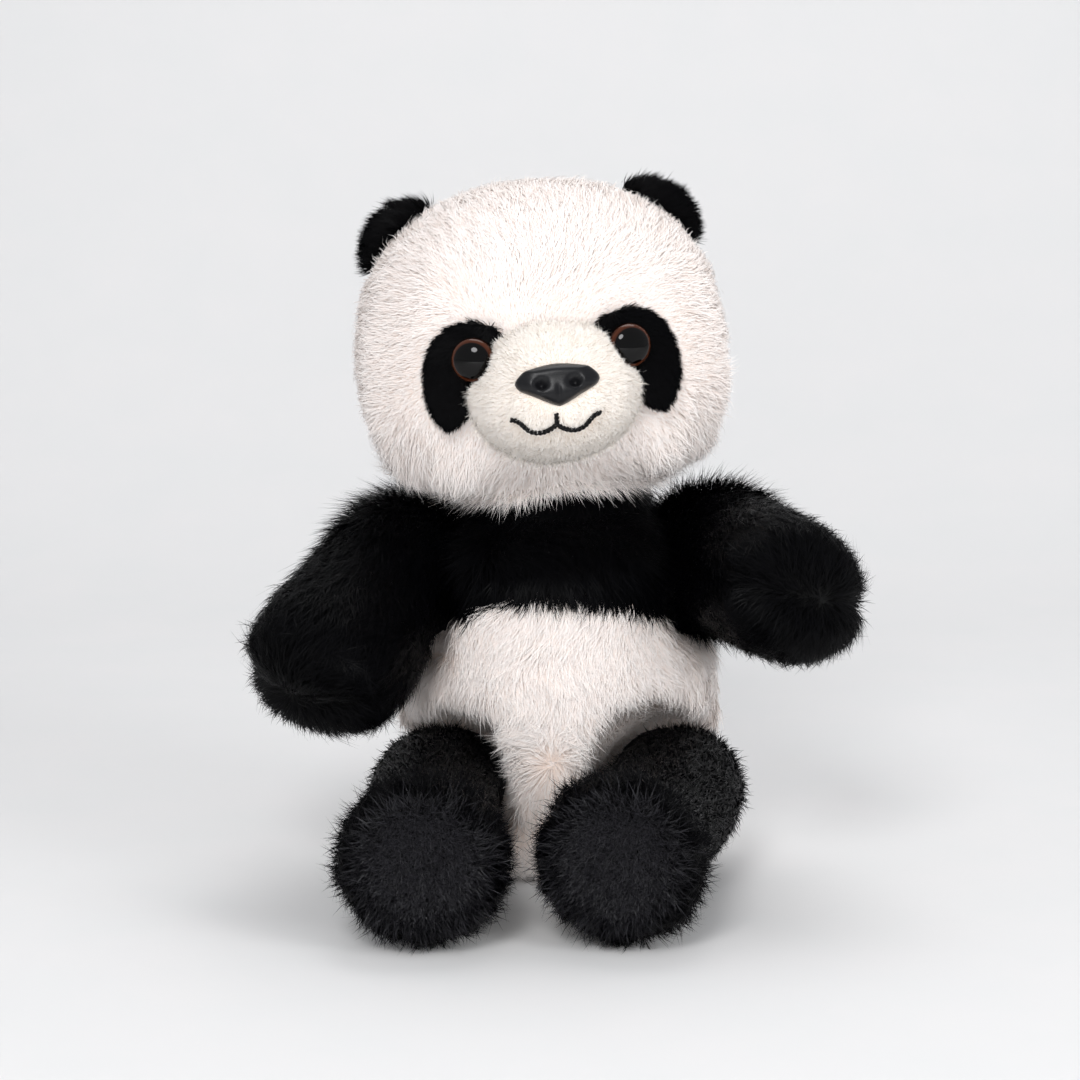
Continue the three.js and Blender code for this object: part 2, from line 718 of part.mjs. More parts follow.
function earSolid(sign) {
  const base = ellipsoid(
    vec(EAR_RADIUS, EAR_THICKNESS / 2, EAR_RADIUS),
    vec(sign * EAR_SPREAD, EAR_BACK, EAR_HEIGHT),
    AROUND,
    SMALL_ALONG,
  );
  return base.subtract(headForm(-FIT_GAP));
}

function headPieces() {
  const half = SEAM_GAP / 2;
  const noseAt = vec(
    0,
    faceAt(muzzleForm(0), 0, NOSE_HEIGHT_ON_MUZZLE) + NOSE_SINK,
    NOSE_HEIGHT_ON_MUZZLE,
  );
  const noseLook = vec(0, -Math.cos(rad(NOSE_LEAN)), Math.sin(rad(NOSE_LEAN)));
  const noseFrame = facing(noseAt, noseLook);
  const inEyes = (solid) =>
    joined(["right", "left"].map((side) => moved(solid, eyeFrames[side])));

  const shell = headBody(0).subtract(headBody(FABRIC_WALL));
  const eyeHoles = inEyes(shankHole);
  const washerRooms = inEyes(washerRoom(washerFront));
  const eyeRoom = inEyes(rod(EYE_RADIUS + FIT_GAP, EYE_BACK - FIT_GAP, 30));
  const face = shell
    .intersect(inFrontOf(EAR_SEAM_Y - half))
    .subtract(eyeHoles)
    .subtract(eyeRoom);
  const back = shell.intersect(behind(EAR_SEAM_Y + half));
  const stuffing = headBody(FABRIC_WALL + FIT_GAP).subtract(washerRooms).subtract(eyeHoles);

  const offFace = headForm(-FIT_GAP);
  const noseRoom = moved(rod(SHANK_RADIUS + SHANK_CLEARANCE, -30, 5), noseFrame);
  const noseSeat = moved(
    nosePlate(FIT_GAP, 2 * NOSE_THICKNESS),
    noseFrame.clone().multiply(shifted(0, 0, -FIT_GAP)),
  );
  const noseWasherFront = NOSE_SHANK_END + WASHER_THICKNESS + SHANK_BEYOND_WASHER;
  const noseWasherRoom = moved(washerRoom(noseWasherFront), noseFrame);
  const muzzleShell = muzzleForm(0).subtract(muzzleForm(MUZZLE_WALL));
  const muzzleCover = muzzleShell
    .subtract(offFace)
    .subtract(eyeRoom)
    .subtract(eyeHoles)
    .subtract(noseRoom)
    .subtract(noseSeat);
  const muzzleFill = muzzleForm(MUZZLE_WALL + FIT_GAP)
    .subtract(offFace)
    .subtract(noseWasherRoom)
    .subtract(noseRoom)
    .subtract(eyeRoom)
    .subtract(eyeHoles);

  const overFace = headForm(-FIT_GAP - PATCH_WALL).subtract(offFace);
  const offMuzzle = muzzleForm(-FIT_GAP);
  const patch = (sign) =>
    overFace.intersect(patchPrism(sign)).subtract(offMuzzle).subtract(eyeHoles).subtract(eyeRoom);
  const eyes = ["right", "left"].flatMap((side) => [
    meshOf(`eye_${side}`, moved(eyeSolid(), eyeFrames[side]), EYE_PLASTIC),
    meshOf(`eye_washer_${side}`, moved(washer(washerFront), eyeFrames[side]), WASHER_PLASTIC),
  ]);
  const ears = [
    ["right", -1],
    ["left", 1],
  ].flatMap(([side, sign]) => [
    meshOf(
      `ear_front_${side}`,
      earSolid(sign).intersect(inFrontOf(EAR_BACK - half)),
      BLACK_PLUSH,
    ),
    meshOf(`ear_back_${side}`, earSolid(sign).intersect(behind(EAR_BACK + half)), BLACK_PLUSH),
  ]);
  return [
    meshOf("head_face_panel", face, WHITE_FUR),
    meshOf("head_back_panel", back, WHITE_FUR),
    meshOf("head_stuffing", stuffing, FIBREFILL),
    meshOf("muzzle_cover", muzzleCover, CREAM_PLUSH),
    meshOf("muzzle_stuffing", muzzleFill, FIBREFILL),
    meshOf("eye_patch_right", patch(-1), BLACK_PLUSH),
    meshOf("eye_patch_left", patch(1), BLACK_PLUSH),
    ...eyes,
    meshOf("nose", moved(noseSolid(), noseFrame), BLACK_PLASTIC),
    meshOf("nose_washer", moved(washer(noseWasherFront), noseFrame), WASHER_PLASTIC),
    meshOf("mouth_stitches", mouthStitches(), BLACK_THREAD),
    ...ears,
  ];
}

// ---------------------------------------------------------------- assembly

const panda = new THREE.Group();
panda.add(groupAt(new THREE.Matrix4(), ...torsoPieces()));
panda.add(groupAt(headFrame, ...headPieces()));
for (const side of ["right", "left"]) {
  panda.add(groupAt(armFrames[side], ...armPieces(side)));
  panda.add(groupAt(legFrames[side], ...legPieces(side, legFrames[side])));
}

// Each ring opens into the torso, away from its limb. The neck's opens up into the head.
const ringAt = (name, place, look, ballRadius) =>
  groupAt(facing(place, look, UPRIGHT), meshOf(name, seamRing(ballRadius), BLACK_THREAD));
panda.add(
  groupAt(
    shifted(...NECK.toArray()),
    meshOf("neck_seam_ring", seamRing(NECK_BALL_RADIUS), WHITE_THREAD),
  ),
);
for (const [side, sign] of [
  ["right", -1],
  ["left", 1],
]) {
  const shoulder = new THREE.Vector3().setFromMatrixPosition(armFrames[side]);
  panda.add(
    ringAt(`shoulder_seam_ring_${side}`, shoulder, vec(-0.9 * sign, 0.4, 0.1), ARM_BALL_RADIUS),
    ringAt(`hip_seam_ring_${side}`, hipOf(sign), vec(-0.4 * sign, 1, 0), LEG_BALL_RADIUS),
  );
}

export default panda;
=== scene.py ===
# %% [markdown]
# # A plush panda, from its sewn covers to its last strand of fur
#
# A plush toy is a set of fabric bags, turned right side out and stuffed until they are round.
# What we see is hardly ever the bag: it is the pile, thousands of fibres that all lean one way.
# So this scene has two layers. First each bag is swelled by a cloth simulation. Then short
# curved strands are planted on it, and each one leans the way a hand would have brushed it.

import json
import math

import bpy
import numpy as np
from mathutils import Matrix, Vector
from mathutils.bvhtree import BVHTree

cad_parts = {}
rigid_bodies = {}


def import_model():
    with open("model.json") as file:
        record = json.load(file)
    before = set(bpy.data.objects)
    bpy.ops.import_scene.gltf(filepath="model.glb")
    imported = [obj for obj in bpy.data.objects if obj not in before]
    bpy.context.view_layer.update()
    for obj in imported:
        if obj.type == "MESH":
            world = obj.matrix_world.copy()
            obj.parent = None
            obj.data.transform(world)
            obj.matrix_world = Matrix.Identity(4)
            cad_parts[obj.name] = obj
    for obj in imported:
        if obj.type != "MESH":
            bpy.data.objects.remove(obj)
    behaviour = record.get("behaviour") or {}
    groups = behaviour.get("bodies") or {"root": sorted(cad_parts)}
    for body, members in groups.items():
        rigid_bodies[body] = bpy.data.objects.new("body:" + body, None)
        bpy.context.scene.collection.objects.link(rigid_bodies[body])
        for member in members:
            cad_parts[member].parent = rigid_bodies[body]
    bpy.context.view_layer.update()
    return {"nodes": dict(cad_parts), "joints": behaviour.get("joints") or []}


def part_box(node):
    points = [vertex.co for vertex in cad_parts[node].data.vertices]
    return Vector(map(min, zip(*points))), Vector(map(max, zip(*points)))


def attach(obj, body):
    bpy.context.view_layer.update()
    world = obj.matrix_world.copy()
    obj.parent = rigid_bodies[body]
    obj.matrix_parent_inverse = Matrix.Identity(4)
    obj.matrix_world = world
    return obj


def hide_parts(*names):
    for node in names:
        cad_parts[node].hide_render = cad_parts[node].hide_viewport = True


for leftover in list(bpy.data.objects):
    bpy.data.objects.remove(leftover)
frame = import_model()
MM = 0.001

# %% [markdown]
# ## Small helpers
#
# Every place in this scene is read from the frame: the middle of a node, or the pivot of a
# joint. A body part gets its own three axes from those places, so that "along the arm" or
# "out of the face" can be said in one word later on.


# %% Places and axes from the frame
def middle(node):
    low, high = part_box(node)
    return (low + high) / 2


def pivot(joint):
    found = [j for j in frame["joints"] if j["name"] == joint][0]
    return Vector(found["pos_m"])


def square_to(vector, axis):
    """The part of a vector that is square to an axis, at unit length."""
    return (vector - axis * vector.dot(axis)).normalized()


HEAD_X = (middle("eye_left") - middle("eye_right")).normalized()
HEAD_Z = square_to(Vector((0, 0, 1)), HEAD_X)
HEAD_Y = HEAD_Z.cross(HEAD_X)
HEAD_MIDDLE = middle("head_stuffing")
SIDES = ("right", "left")
print("the head looks along", [round(v, 3) for v in -HEAD_Y])


# %% Arrays of a mesh's points and normals
def points_of(obj):
    flat = np.zeros(len(obj.data.vertices) * 3)
    obj.data.vertices.foreach_get("co", flat)
    return flat.reshape(-1, 3)


def normals_of(obj):
    flat = np.zeros(len(obj.data.vertices) * 3)
    obj.data.vertex_normals.foreach_get("vector", flat)
    return flat.reshape(-1, 3)


def move_points(obj, places):
    obj.data.vertices.foreach_set("co", places.astype(np.float32).ravel())
    obj.data.update()


def unit(vectors):
    lengths = np.linalg.norm(vectors, axis=1, keepdims=True)
    return vectors / np.maximum(lengths, 1e-9)


def bell(distance, width):
    """1 at no distance, and close to 0 from twice the width on."""
    return np.exp(-((distance / width) ** 2))


def ease(value, low, high):
    share = np.clip((value - low) / (high - low), 0, 1)
    return share * share * (3 - 2 * share)


# %% Selecting objects
def deselect_all():
    bpy.ops.object.select_all(action="DESELECT")


def only(obj):
    deselect_all()
    obj.select_set(True)
    bpy.context.view_layer.objects.active = obj


# %% [markdown]
# ## The camera, the floor and the light
#
# The toy sits on a pale sweep of paper that bends up behind it, as in a product studio, so no
# horizon shows. A long lens from well back keeps the feet from looking large. A round soft lamp
# stands high in front, a wide one fills from the side, one lights the fur from behind, and one
# low in front reaches under the jaw and the paws. The two that fill are kept out of glossy
# reflections, so only the high lamp shows as a bright spot in the eyes.

# %% Camera
AIM = Vector((-8, 0, 133)) * MM
DISTANCE = 1300 * MM
ELEVATION = math.radians(10)
deselect_all()
reach = Vector((0, -math.cos(ELEVATION), math.sin(ELEVATION))) * DISTANCE
bpy.ops.object.camera_add(location=AIM + reach, rotation=(math.pi / 2 - ELEVATION, 0, 0))
camera = bpy.context.object
camera.data.sensor_width = 36
camera.data.lens = 106.6
camera.data.clip_start = 0.01
bpy.context.scene.camera = camera
print("camera at", [round(v, 3) for v in camera.location])


# %% Colours and nodes
def linear(hex_colour):
    """An sRGB hex colour as the linear numbers that a shader takes."""
    parts = [int(hex_colour[i : i + 2], 16) / 255 for i in (1, 3, 5)]
    curve = [p / 12.92 if p <= 0.04045 else ((p + 0.055) / 1.055) ** 2.4 for p in parts]
    return (*curve, 1)


def add_node(tree, kind, inputs=None, **settings):
    """Adds a node. Its inputs, by name or by place, are values, sockets, or whole nodes.

    A whole node stands for its first output.
    """
    made = tree.nodes.new(kind)
    for name, value in settings.items():
        setattr(made, name, value)
    for name, value in (inputs or {}).items():
        if isinstance(value, bpy.types.Node):
            value = value.outputs[0]
        if isinstance(value, bpy.types.NodeSocket):
            tree.links.new(value, made.inputs[name])
        else:
            made.inputs[name].default_value = value
    return made


def new_material(name, **principled):
    """A material with a Principled shader. Returns it with its tree and its shader."""
    material = bpy.data.materials.new(name)
    material.use_nodes = True
    tree = material.node_tree
    shader = tree.nodes["Principled BSDF"]
    for socket, value in principled.items():
        shader.inputs[socket.replace("_", " ")].default_value = value
    return material, tree, shader


def set_ramp(ramp, stops):
    """Gives a colour ramp these (place, hex colour) stops."""
    elements = ramp.color_ramp.elements
    while len(elements) < len(stops):
        elements.new(0.5)
    for element, (place, colour) in zip(elements, stops):
        element.position = place
        element.color = linear(colour)


# %% Paper sweep
PAPER_WIDTH = 9000 * MM
PAPER_LENGTH = 3200 * MM
PAPER_HEIGHT = 2200 * MM
PAPER_BEND = 700 * MM
deselect_all()
bpy.ops.mesh.primitive_plane_add(size=1, location=(0, -400 * MM, 0))
paper = bpy.context.object
paper.name = "paper_sweep"
paper.scale = (PAPER_WIDTH, PAPER_LENGTH, 1)
bpy.ops.object.transform_apply(location=True, rotation=True, scale=True)
bpy.ops.object.mode_set(mode="EDIT")
bpy.ops.mesh.select_mode(type="EDGE")
bpy.ops.mesh.select_all(action="DESELECT")
bpy.ops.object.mode_set(mode="OBJECT")
far_edge = max(v.co.y for v in paper.data.vertices)
for edge in paper.data.edges:
    edge.select = all(paper.data.vertices[i].co.y > far_edge - 1e-6 for i in edge.vertices)
bpy.ops.object.mode_set(mode="EDIT")
bpy.ops.mesh.extrude_region_move(TRANSFORM_OT_translate={"value": (0, 0, PAPER_HEIGHT)})
bpy.ops.object.mode_set(mode="OBJECT")
bend = paper.modifiers.new("Bend", "BEVEL")
bend.width = PAPER_BEND
bend.segments = 16
bend.angle_limit = math.radians(40)
bpy.ops.object.modifier_apply(modifier="Bend")
bpy.ops.object.shade_smooth()

paper_white, paper_tree, paper_shader = new_material("seamless_paper", Roughness=0.9)
# Coloured paper has a faint cloudiness from its fibres, a few centimetres across.
paper_coordinates = add_node(paper_tree, "ShaderNodeTexCoord")
paper_cloud = add_node(
    paper_tree,
    "ShaderNodeTexNoise",
    {"Vector": paper_coordinates.outputs["Object"], "Scale": 18.0, "Detail": 3.0},
)
paper_ramp = add_node(paper_tree, "ShaderNodeValToRGB", {"Fac": paper_cloud})
set_ramp(paper_ramp, [(0.3, "#E0E0E0"), (0.7, "#E2E1E1")])
paper_tree.links.new(paper_ramp.outputs["Color"], paper_shader.inputs["Base Color"])
paper.data.materials.append(paper_white)
print("paper sweep with", len(paper.data.polygons), "faces")


# %% Soft lamps and room light
def soft_lamp(name, place, width, height, power, mirrored=True):
    """A soft lamp that faces the toy. One that isn't mirrored leaves no bright spot on gloss."""
    deselect_all()
    towards = AIM - Vector(place)
    bpy.ops.object.light_add(
        type="AREA", location=place, rotation=towards.to_track_quat("-Z", "Y").to_euler()
    )
    lamp = bpy.context.object
    lamp.name = name
    lamp.data.shape = "ELLIPSE"
    lamp.data.size = width
    lamp.data.size_y = height
    lamp.data.energy = power
    lamp.visible_glossy = mirrored


# Places and sizes are in metres, and the power is in watts.
soft_lamp("key_lamp", (-0.3, -1.45, 1.2), 0.6, 0.6, 14)
soft_lamp("fill_lamp", (1.3, -1.1, 0.8), 0.8, 1.1, 11, mirrored=False)
soft_lamp("top_lamp", (0.1, 0.5, 1.6), 1.2, 0.8, 7)
soft_lamp("low_lamp", (-0.2, -1.7, 0.3), 1.2, 0.6, 8, mirrored=False)
room = bpy.data.worlds.new("studio_room")
room.use_nodes = True
room.node_tree.nodes["Background"].inputs["Color"].default_value = linear("#F4F6FA")
room.node_tree.nodes["Background"].inputs["Strength"].default_value = 0.53
bpy.context.scene.world = room
bpy.context.scene.view_settings.view_transform = "Standard"

# %% [markdown]
# ## Swelling the stuffed bags
#
# A stuffed part is a bag under gentle pressure from inside. It could be drawn as a smooth
# surface, but the pressure is what makes it look stuffed: flat stretches crown and corners pull
# tight. So a copy of the stuffing is remeshed into even squares, made into cloth, and blown up
# for twenty frames. How far a point may travel is capped, and the result is kept in the mesh.


# %% Copy and remesh
def copy_of(nodes, name):
    """One new object from copies of CAD nodes."""
    copies = []
    for node in nodes:
        copy = frame["nodes"][node].copy()
        copy.data = copy.data.copy()
        copy.parent = None
        for key in list(copy.keys()):
            del copy[key]
        bpy.context.scene.collection.objects.link(copy)
        copies.append(copy)
    deselect_all()
    for copy in copies:
        copy.select_set(True)
    bpy.context.view_layer.objects.active = copies[0]
    if len(copies) > 1:
        bpy.ops.object.join()
    made = bpy.context.object
    made.name = name
    made.data.name = name
    made.data.materials.clear()
    bpy.ops.object.mode_set(mode="EDIT")
    bpy.ops.mesh.select_all(action="SELECT")
    bpy.ops.mesh.remove_doubles(threshold=0.01 * MM)
    bpy.ops.object.mode_set(mode="OBJECT")
    return made


def apply_modifier(obj, kind, **settings):
    only(obj)
    modifier = obj.modifiers.new(kind.title(), kind)
    for name, value in settings.items():
        setattr(modifier, name, value)
    bpy.ops.object.modifier_apply(modifier=modifier.name)


def remesh(obj, voxel):
    apply_modifier(obj, "REMESH", mode="VOXEL", voxel_size=voxel, use_smooth_shade=True)
    apply_modifier(obj, "SMOOTH", factor=0.5, iterations=3)


# %% Blow up as cloth
PRESSURE = 4.0
FRAMES = 20


def blow_up(obj, cap, pressure):
    """Swells a closed mesh under pressure. No point travels further than the cap."""
    before = points_of(obj)
    only(obj)
    cloth = obj.modifiers.new("Cloth", "CLOTH")
    cloth.settings.use_pressure = True
    cloth.settings.uniform_pressure_force = pressure
    cloth.settings.effector_weights.gravity = 0
    cloth.settings.quality = 5
    cloth.collision_settings.use_collision = False
    cloth.point_cache.frame_end = FRAMES
    for number in range(1, FRAMES + 1):
        bpy.context.scene.frame_set(number)
    bpy.ops.object.modifier_apply(modifier="Cloth")
    bpy.context.scene.frame_set(1)
    travel = points_of(obj) - before
    length = np.linalg.norm(travel, axis=1, keepdims=True)
    move_points(obj, before + travel * np.minimum(1, cap / np.maximum(length, 1e-9)))
    print(obj.name, "swelled by up to", round(float(length.max()) / MM, 1), "mm")


def bag(name, nodes, body, voxel=4.5 * MM, cap=2.0 * MM, levels=1, pressure=PRESSURE):
    """A stuffed bag from copies of CAD nodes, riding on a body."""
    made = copy_of(nodes, name)
    remesh(made, voxel)
    if pressure:
        blow_up(made, cap, pressure)
    apply_modifier(made, "SMOOTH", factor=0.5, iterations=4)
    if levels:
        apply_modifier(made, "SUBSURF", levels=levels, render_levels=levels)
    print(name, "has", len(made.data.polygons), "faces on", body)
    return made


# %% Every bag
head = bag("head_bag", ["head_stuffing"], "head", cap=2.0 * MM)
torso = bag("torso_bag", ["torso_stuffing", "pellet_bag"], "torso", cap=1.0 * MM)
muzzle = bag("muzzle_bag", ["muzzle_stuffing", "muzzle_cover"], "head", 2.2 * MM, 0.5 * MM)
tail = bag("tail_bag", ["tail"], "torso", 2.5 * MM, pressure=0)
# The limbs are small, so it takes more pressure to move their cloth as far.
arms = {s: bag(f"arm_bag_{s}", [f"arm_stuffing_{s}"], f"arm_{s}", pressure=60) for s in SIDES}
legs = {s: bag(f"leg_bag_{s}", [f"leg_stuffing_{s}"], f"leg_{s}", pressure=60) for s in SIDES}
ears = {
    s: bag(f"ear_bag_{s}", [f"ear_front_{s}", f"ear_back_{s}"], "head", 2 * MM, pressure=0)
    for s in SIDES
}
patches = {
    s: bag(f"patch_cloth_{s}", [f"eye_patch_{s}"], "head", 1.0 * MM, levels=0, pressure=0)
    for s in SIDES
}

# %% [markdown]
# ## Pulling the seams in
#
# Where two panels are sewn together the cloth is held down, and the stuffing bulges on either
# side. The remesh rubbed those lines out, so they are pressed in again: each point near a seam
# moves inwards, most on the seam itself and hardly at all a centimetre away.


# %% Seams
def press_seam(obj, distance, depth, width):
    """Presses a seam in. distance holds how far each point is from it."""
    push = depth * bell(distance, width)
    move_points(obj, points_of(obj) - normals_of(obj) * push[:, None])


def limb_axes(side, limb, end_node, front_node, back_node):
    """A limb's pivot, its direction, and the direction square to its seam."""
    start = pivot(f"{limb}_swing_{side}")
    along = (middle(end_node) - start).normalized()
    across = square_to(middle(front_node) - middle(back_node), along)
    return start, along, across


arm_axes = {
    s: limb_axes(s, "arm", f"arm_stuffing_{s}", f"arm_outer_panel_{s}", f"arm_palm_panel_{s}")
    for s in SIDES
}
leg_axes = {
    s: limb_axes(s, "leg", f"foot_sole_{s}", f"leg_top_panel_{s}", f"leg_under_panel_{s}")
    for s in SIDES
}


def along_limb(obj, axes):
    """For each point: how far along the limb it is, and its vector out from the limb's line."""
    start, along, _ = axes
    offset = points_of(obj) - np.array(start)
    travel = offset @ np.array(along)
    return travel, offset - travel[:, None] * np.array(along)


SOLE_SEAM_RADIUS = (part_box("foot_sole_right")[1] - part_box("foot_sole_right")[0]).x / 2
for side in SIDES:
    travel, outwards = along_limb(arms[side], arm_axes[side])
    off_seam = np.abs(outwards @ np.array(arm_axes[side][2]))
    press_seam(arms[side], off_seam, 2.5 * MM, 4 * MM)
    travel, outwards = along_limb(legs[side], leg_axes[side])
    radius = np.linalg.norm(outwards, axis=1)
    at_end = ease(travel, travel.max() - 25 * MM, travel.max() - 8 * MM)
    ring = np.where(at_end > 0, np.abs(radius - SOLE_SEAM_RADIUS), 1)
    press_seam(legs[side], ring, 2.5 * MM, 4 * MM)
# An arm is stuffed hardest near the shoulder, on its outer side, away from the chest.
for sign, side in ((-1, "right"), (1, "left")):
    travel, _ = along_limb(arms[side], arm_axes[side])
    outer = np.clip(normals_of(arms[side]) @ np.array([0.8 * sign, 0, 0.6]), 0, 1)
    bulge = 5 * MM * outer * bell(travel - 30 * MM, 32 * MM)
    move_points(arms[side], points_of(arms[side]) + normals_of(arms[side]) * bulge[:, None])
print("seams pressed; the sole's seam has a radius of", round(SOLE_SEAM_RADIUS / MM, 1), "mm")

# %% [markdown]
# ## One strand of fur
#
# A real fibre is a few hundredths of a millimetre thick, far too fine to draw, so one strand
# here stands for a small tuft of them. It is a flat blade of two steps, widest low down and
# pointed at its tip, and it bows over to one side. It is one unit long and one unit wide, and
# the planting gives it its real size.


# %% Model the strand
def strand(name, steps, bow):
    """A blade from a plane: each step is extruded, narrowed and bowed over towards +Y."""
    deselect_all()
    bpy.ops.mesh.primitive_plane_add(size=1, location=(0, 0, 0))
    blade = bpy.context.object
    blade.name = name
    bpy.ops.object.mode_set(mode="EDIT")
    bpy.ops.mesh.select_all(action="SELECT")
    bpy.ops.mesh.delete(type="ONLY_FACE")
    bpy.ops.mesh.select_mode(type="EDGE")
    bpy.ops.mesh.select_all(action="DESELECT")
    bpy.ops.object.mode_set(mode="OBJECT")
    low = [e for e in blade.data.edges if all(blade.data.vertices[i].co.y < 0 for i in e.vertices)]
    for edge in blade.data.edges:
        edge.select = edge not in low
    bpy.ops.object.mode_set(mode="EDIT")
    bpy.ops.mesh.delete(type="EDGE")
    bpy.ops.mesh.select_all(action="SELECT")
    bpy.ops.transform.translate(value=(0, 0.5, 0))
    turn = 0
    for width in steps:
        turn += bow / len(steps)
        rise = Vector((0, math.sin(turn), math.cos(turn))) / len(steps)
        bpy.ops.mesh.extrude_region_move(TRANSFORM_OT_translate={"value": rise})
        bpy.ops.transform.resize(value=(max(width, 1e-3), 1, 1))
    bpy.ops.mesh.merge(type="CENTER")
    bpy.ops.mesh.select_all(action="SELECT")
    bpy.ops.mesh.flip_normals()
    bpy.ops.object.mode_set(mode="OBJECT")
    return blade


long_strand = strand("long_strand", [1.1, 0.55], math.radians(65))
short_strand = strand("short_strand", [0.9, 0.4], math.radians(45))
for blade in (long_strand, short_strand):
    height = [v.co.z for v in blade.data.vertices]
    print(blade.name, len(blade.data.polygons), "faces,", round(max(height), 2), "high")


# %% [markdown]
# ## Planting the fur
#
# Hand-placing half a million strands is out of the question, and a hair system draws lines that
# no other program can read. Geometry Nodes can plant real meshes: it scatters points on a bag,
# stands a strand on each, and turns it so that it leans along a brushed direction. The fibres
# of real pile also stick together in small locks, so each strand's tip is drawn a little
# towards the middle of the cell that it grows in.


# %% The planting tree
BRUSHED = {"mask": "FLOAT", "lean": "FLOAT", "pile": "FLOAT"}
BRUSHED.update({"comb": "FLOAT_VECTOR", "out": "FLOAT_VECTOR"})


def planting(
    name, blade, per_mm2, width, seed, length=1.0, stray=0.2, lock=5 * MM, gather=0.3, twist=0.6
):
    """A node group that turns a bag into its fur."""
    tree = bpy.data.node_groups.new(name, "GeometryNodeTree")
    tree.interface.new_socket("Geometry", in_out="INPUT", socket_type="NodeSocketGeometry")
    tree.interface.new_socket("Geometry", in_out="OUTPUT", socket_type="NodeSocketGeometry")
    entry = add_node(tree, "NodeGroupInput")

    # What the bag stores at each point, and what differs by chance from strand to strand.
    stored = {}
    for item, kind in BRUSHED.items():
        stored[item] = add_node(
            tree, "GeometryNodeInputNamedAttribute", {"Name": item}, data_type=kind
        )
    spreads = {"tone": (1, 0, 1), "turn": (3, -twist, twist)}
    spreads.update({"share": (4, 0.7 * length, 1.1 * length), "bow": (5, 0.6, 1.3)})
    chance = {}
    for item, (draw, low, high) in spreads.items():
        drawn = add_node(
            tree,
            "FunctionNodeRandomValue",
            {2: low, 3: high, "Seed": seed + draw},
            data_type="FLOAT",
        )
        chance[item] = drawn.outputs[1]
    corner = Vector((stray, stray, stray))
    astray = add_node(
        tree,
        "FunctionNodeRandomValue",
        {0: -corner, 1: corner, "Seed": seed + 2},
        data_type="FLOAT_VECTOR",
    )

    density = add_node(
        tree, "ShaderNodeMath", {0: stored["mask"], 1: per_mm2 / MM**2}, operation="MULTIPLY"
    )
    points = add_node(
        tree,
        "GeometryNodeDistributePointsOnFaces",
        {"Mesh": entry, "Density": density, "Seed": seed},
    )
    toned = add_node(
        tree,
        "GeometryNodeStoreNamedAttribute",
        {0: points, "Name": "tone", "Value": chance["tone"]},
        data_type="FLOAT",
        domain="POINT",
    )

    # The lean: out of the cloth, along the brushed direction, and a little astray.
    stand = add_node(tree, "ShaderNodeMath", {0: 1.0, 1: stored["lean"]}, operation="SUBTRACT")
    upright = add_node(
        tree, "ShaderNodeVectorMath", {0: stored["out"], "Scale": stand}, operation="SCALE"
    )
    brushed = add_node(
        tree,
        "ShaderNodeVectorMath",
        {0: stored["comb"], "Scale": stored["lean"]},
        operation="SCALE",
    )
    growth = add_node(tree, "ShaderNodeVectorMath", {0: upright, 1: brushed}, operation="ADD")
    growth = add_node(tree, "ShaderNodeVectorMath", {0: growth, 1: astray}, operation="ADD")

    # The lock: towards the middle of the cell that the root is in.
    place = add_node(tree, "GeometryNodeInputPosition")
    cells = add_node(
        tree, "ShaderNodeTexVoronoi", {"Vector": place, "Scale": 1 / lock, "Randomness": 1.0}
    )
    to_middle = add_node(
        tree, "ShaderNodeVectorMath", {0: cells.outputs["Position"], 1: place}, operation="SUBTRACT"
    )
    to_middle = add_node(
        tree, "ShaderNodeVectorMath", {0: to_middle, "Scale": gather / lock}, operation="SCALE"
    )
    growth = add_node(tree, "ShaderNodeVectorMath", {0: growth, 1: to_middle}, operation="ADD")
    growth = add_node(tree, "ShaderNodeVectorMath", {0: growth}, operation="NORMALIZE")

    # The turn: the strand stands along its growth, and bows over towards where it was brushed.
    stood = add_node(tree, "FunctionNodeAlignRotationToVector", {"Vector": growth}, axis="Z")
    over = add_node(
        tree, "ShaderNodeVectorMath", {0: stored["comb"], 1: to_middle}, operation="ADD"
    )
    bowed = add_node(
        tree,
        "FunctionNodeAlignRotationToVector",
        {"Rotation": stood, "Vector": over},
        axis="Y",
        pivot_axis="Z",
    )
    spin = add_node(
        tree, "FunctionNodeAxisAngleToRotation", {"Axis": (0, 0, 1), "Angle": chance["turn"]}
    )
    rotation = add_node(
        tree, "FunctionNodeRotateRotation", {0: bowed, 1: spin}, rotation_space="LOCAL"
    )

    reach = add_node(
        tree, "ShaderNodeMath", {0: stored["pile"], 1: chance["share"]}, operation="MULTIPLY"
    )
    bow = add_node(tree, "ShaderNodeMath", {0: reach, 1: chance["bow"]}, operation="MULTIPLY")
    size = add_node(tree, "ShaderNodeCombineXYZ", {"X": width, "Y": bow, "Z": reach})
    source = add_node(tree, "GeometryNodeObjectInfo", {"Object": blade})
    planted = add_node(
        tree,
        "GeometryNodeInstanceOnPoints",
        {
            "Points": toned,
            "Instance": source.outputs["Geometry"],
            "Rotation": rotation,
            "Scale": size,
        },
    )
    real = add_node(tree, "GeometryNodeRealizeInstances", {0: planted})
    add_node(tree, "NodeGroupOutput", {0: real})
    return tree


# %% Brushing and planting
def write_attribute(obj, name, kind, values):
    layer = obj.data.attributes.get(name) or obj.data.attributes.new(name, kind, "POINT")
    field = "vector" if kind == "FLOAT_VECTOR" else "value"
    layer.data.foreach_set(field, np.asarray(values, np.float32).ravel())


def read_attribute(obj, name, width):
    """An attribute's values, as rows of a width when it holds more than one number."""
    values = np.zeros(len(obj.data.vertices) * width, np.float32)
    field = "vector" if width == 3 else "value"
    obj.data.attributes[name].data.foreach_get(field, values)
    return values.reshape(-1, width) if width > 1 else values


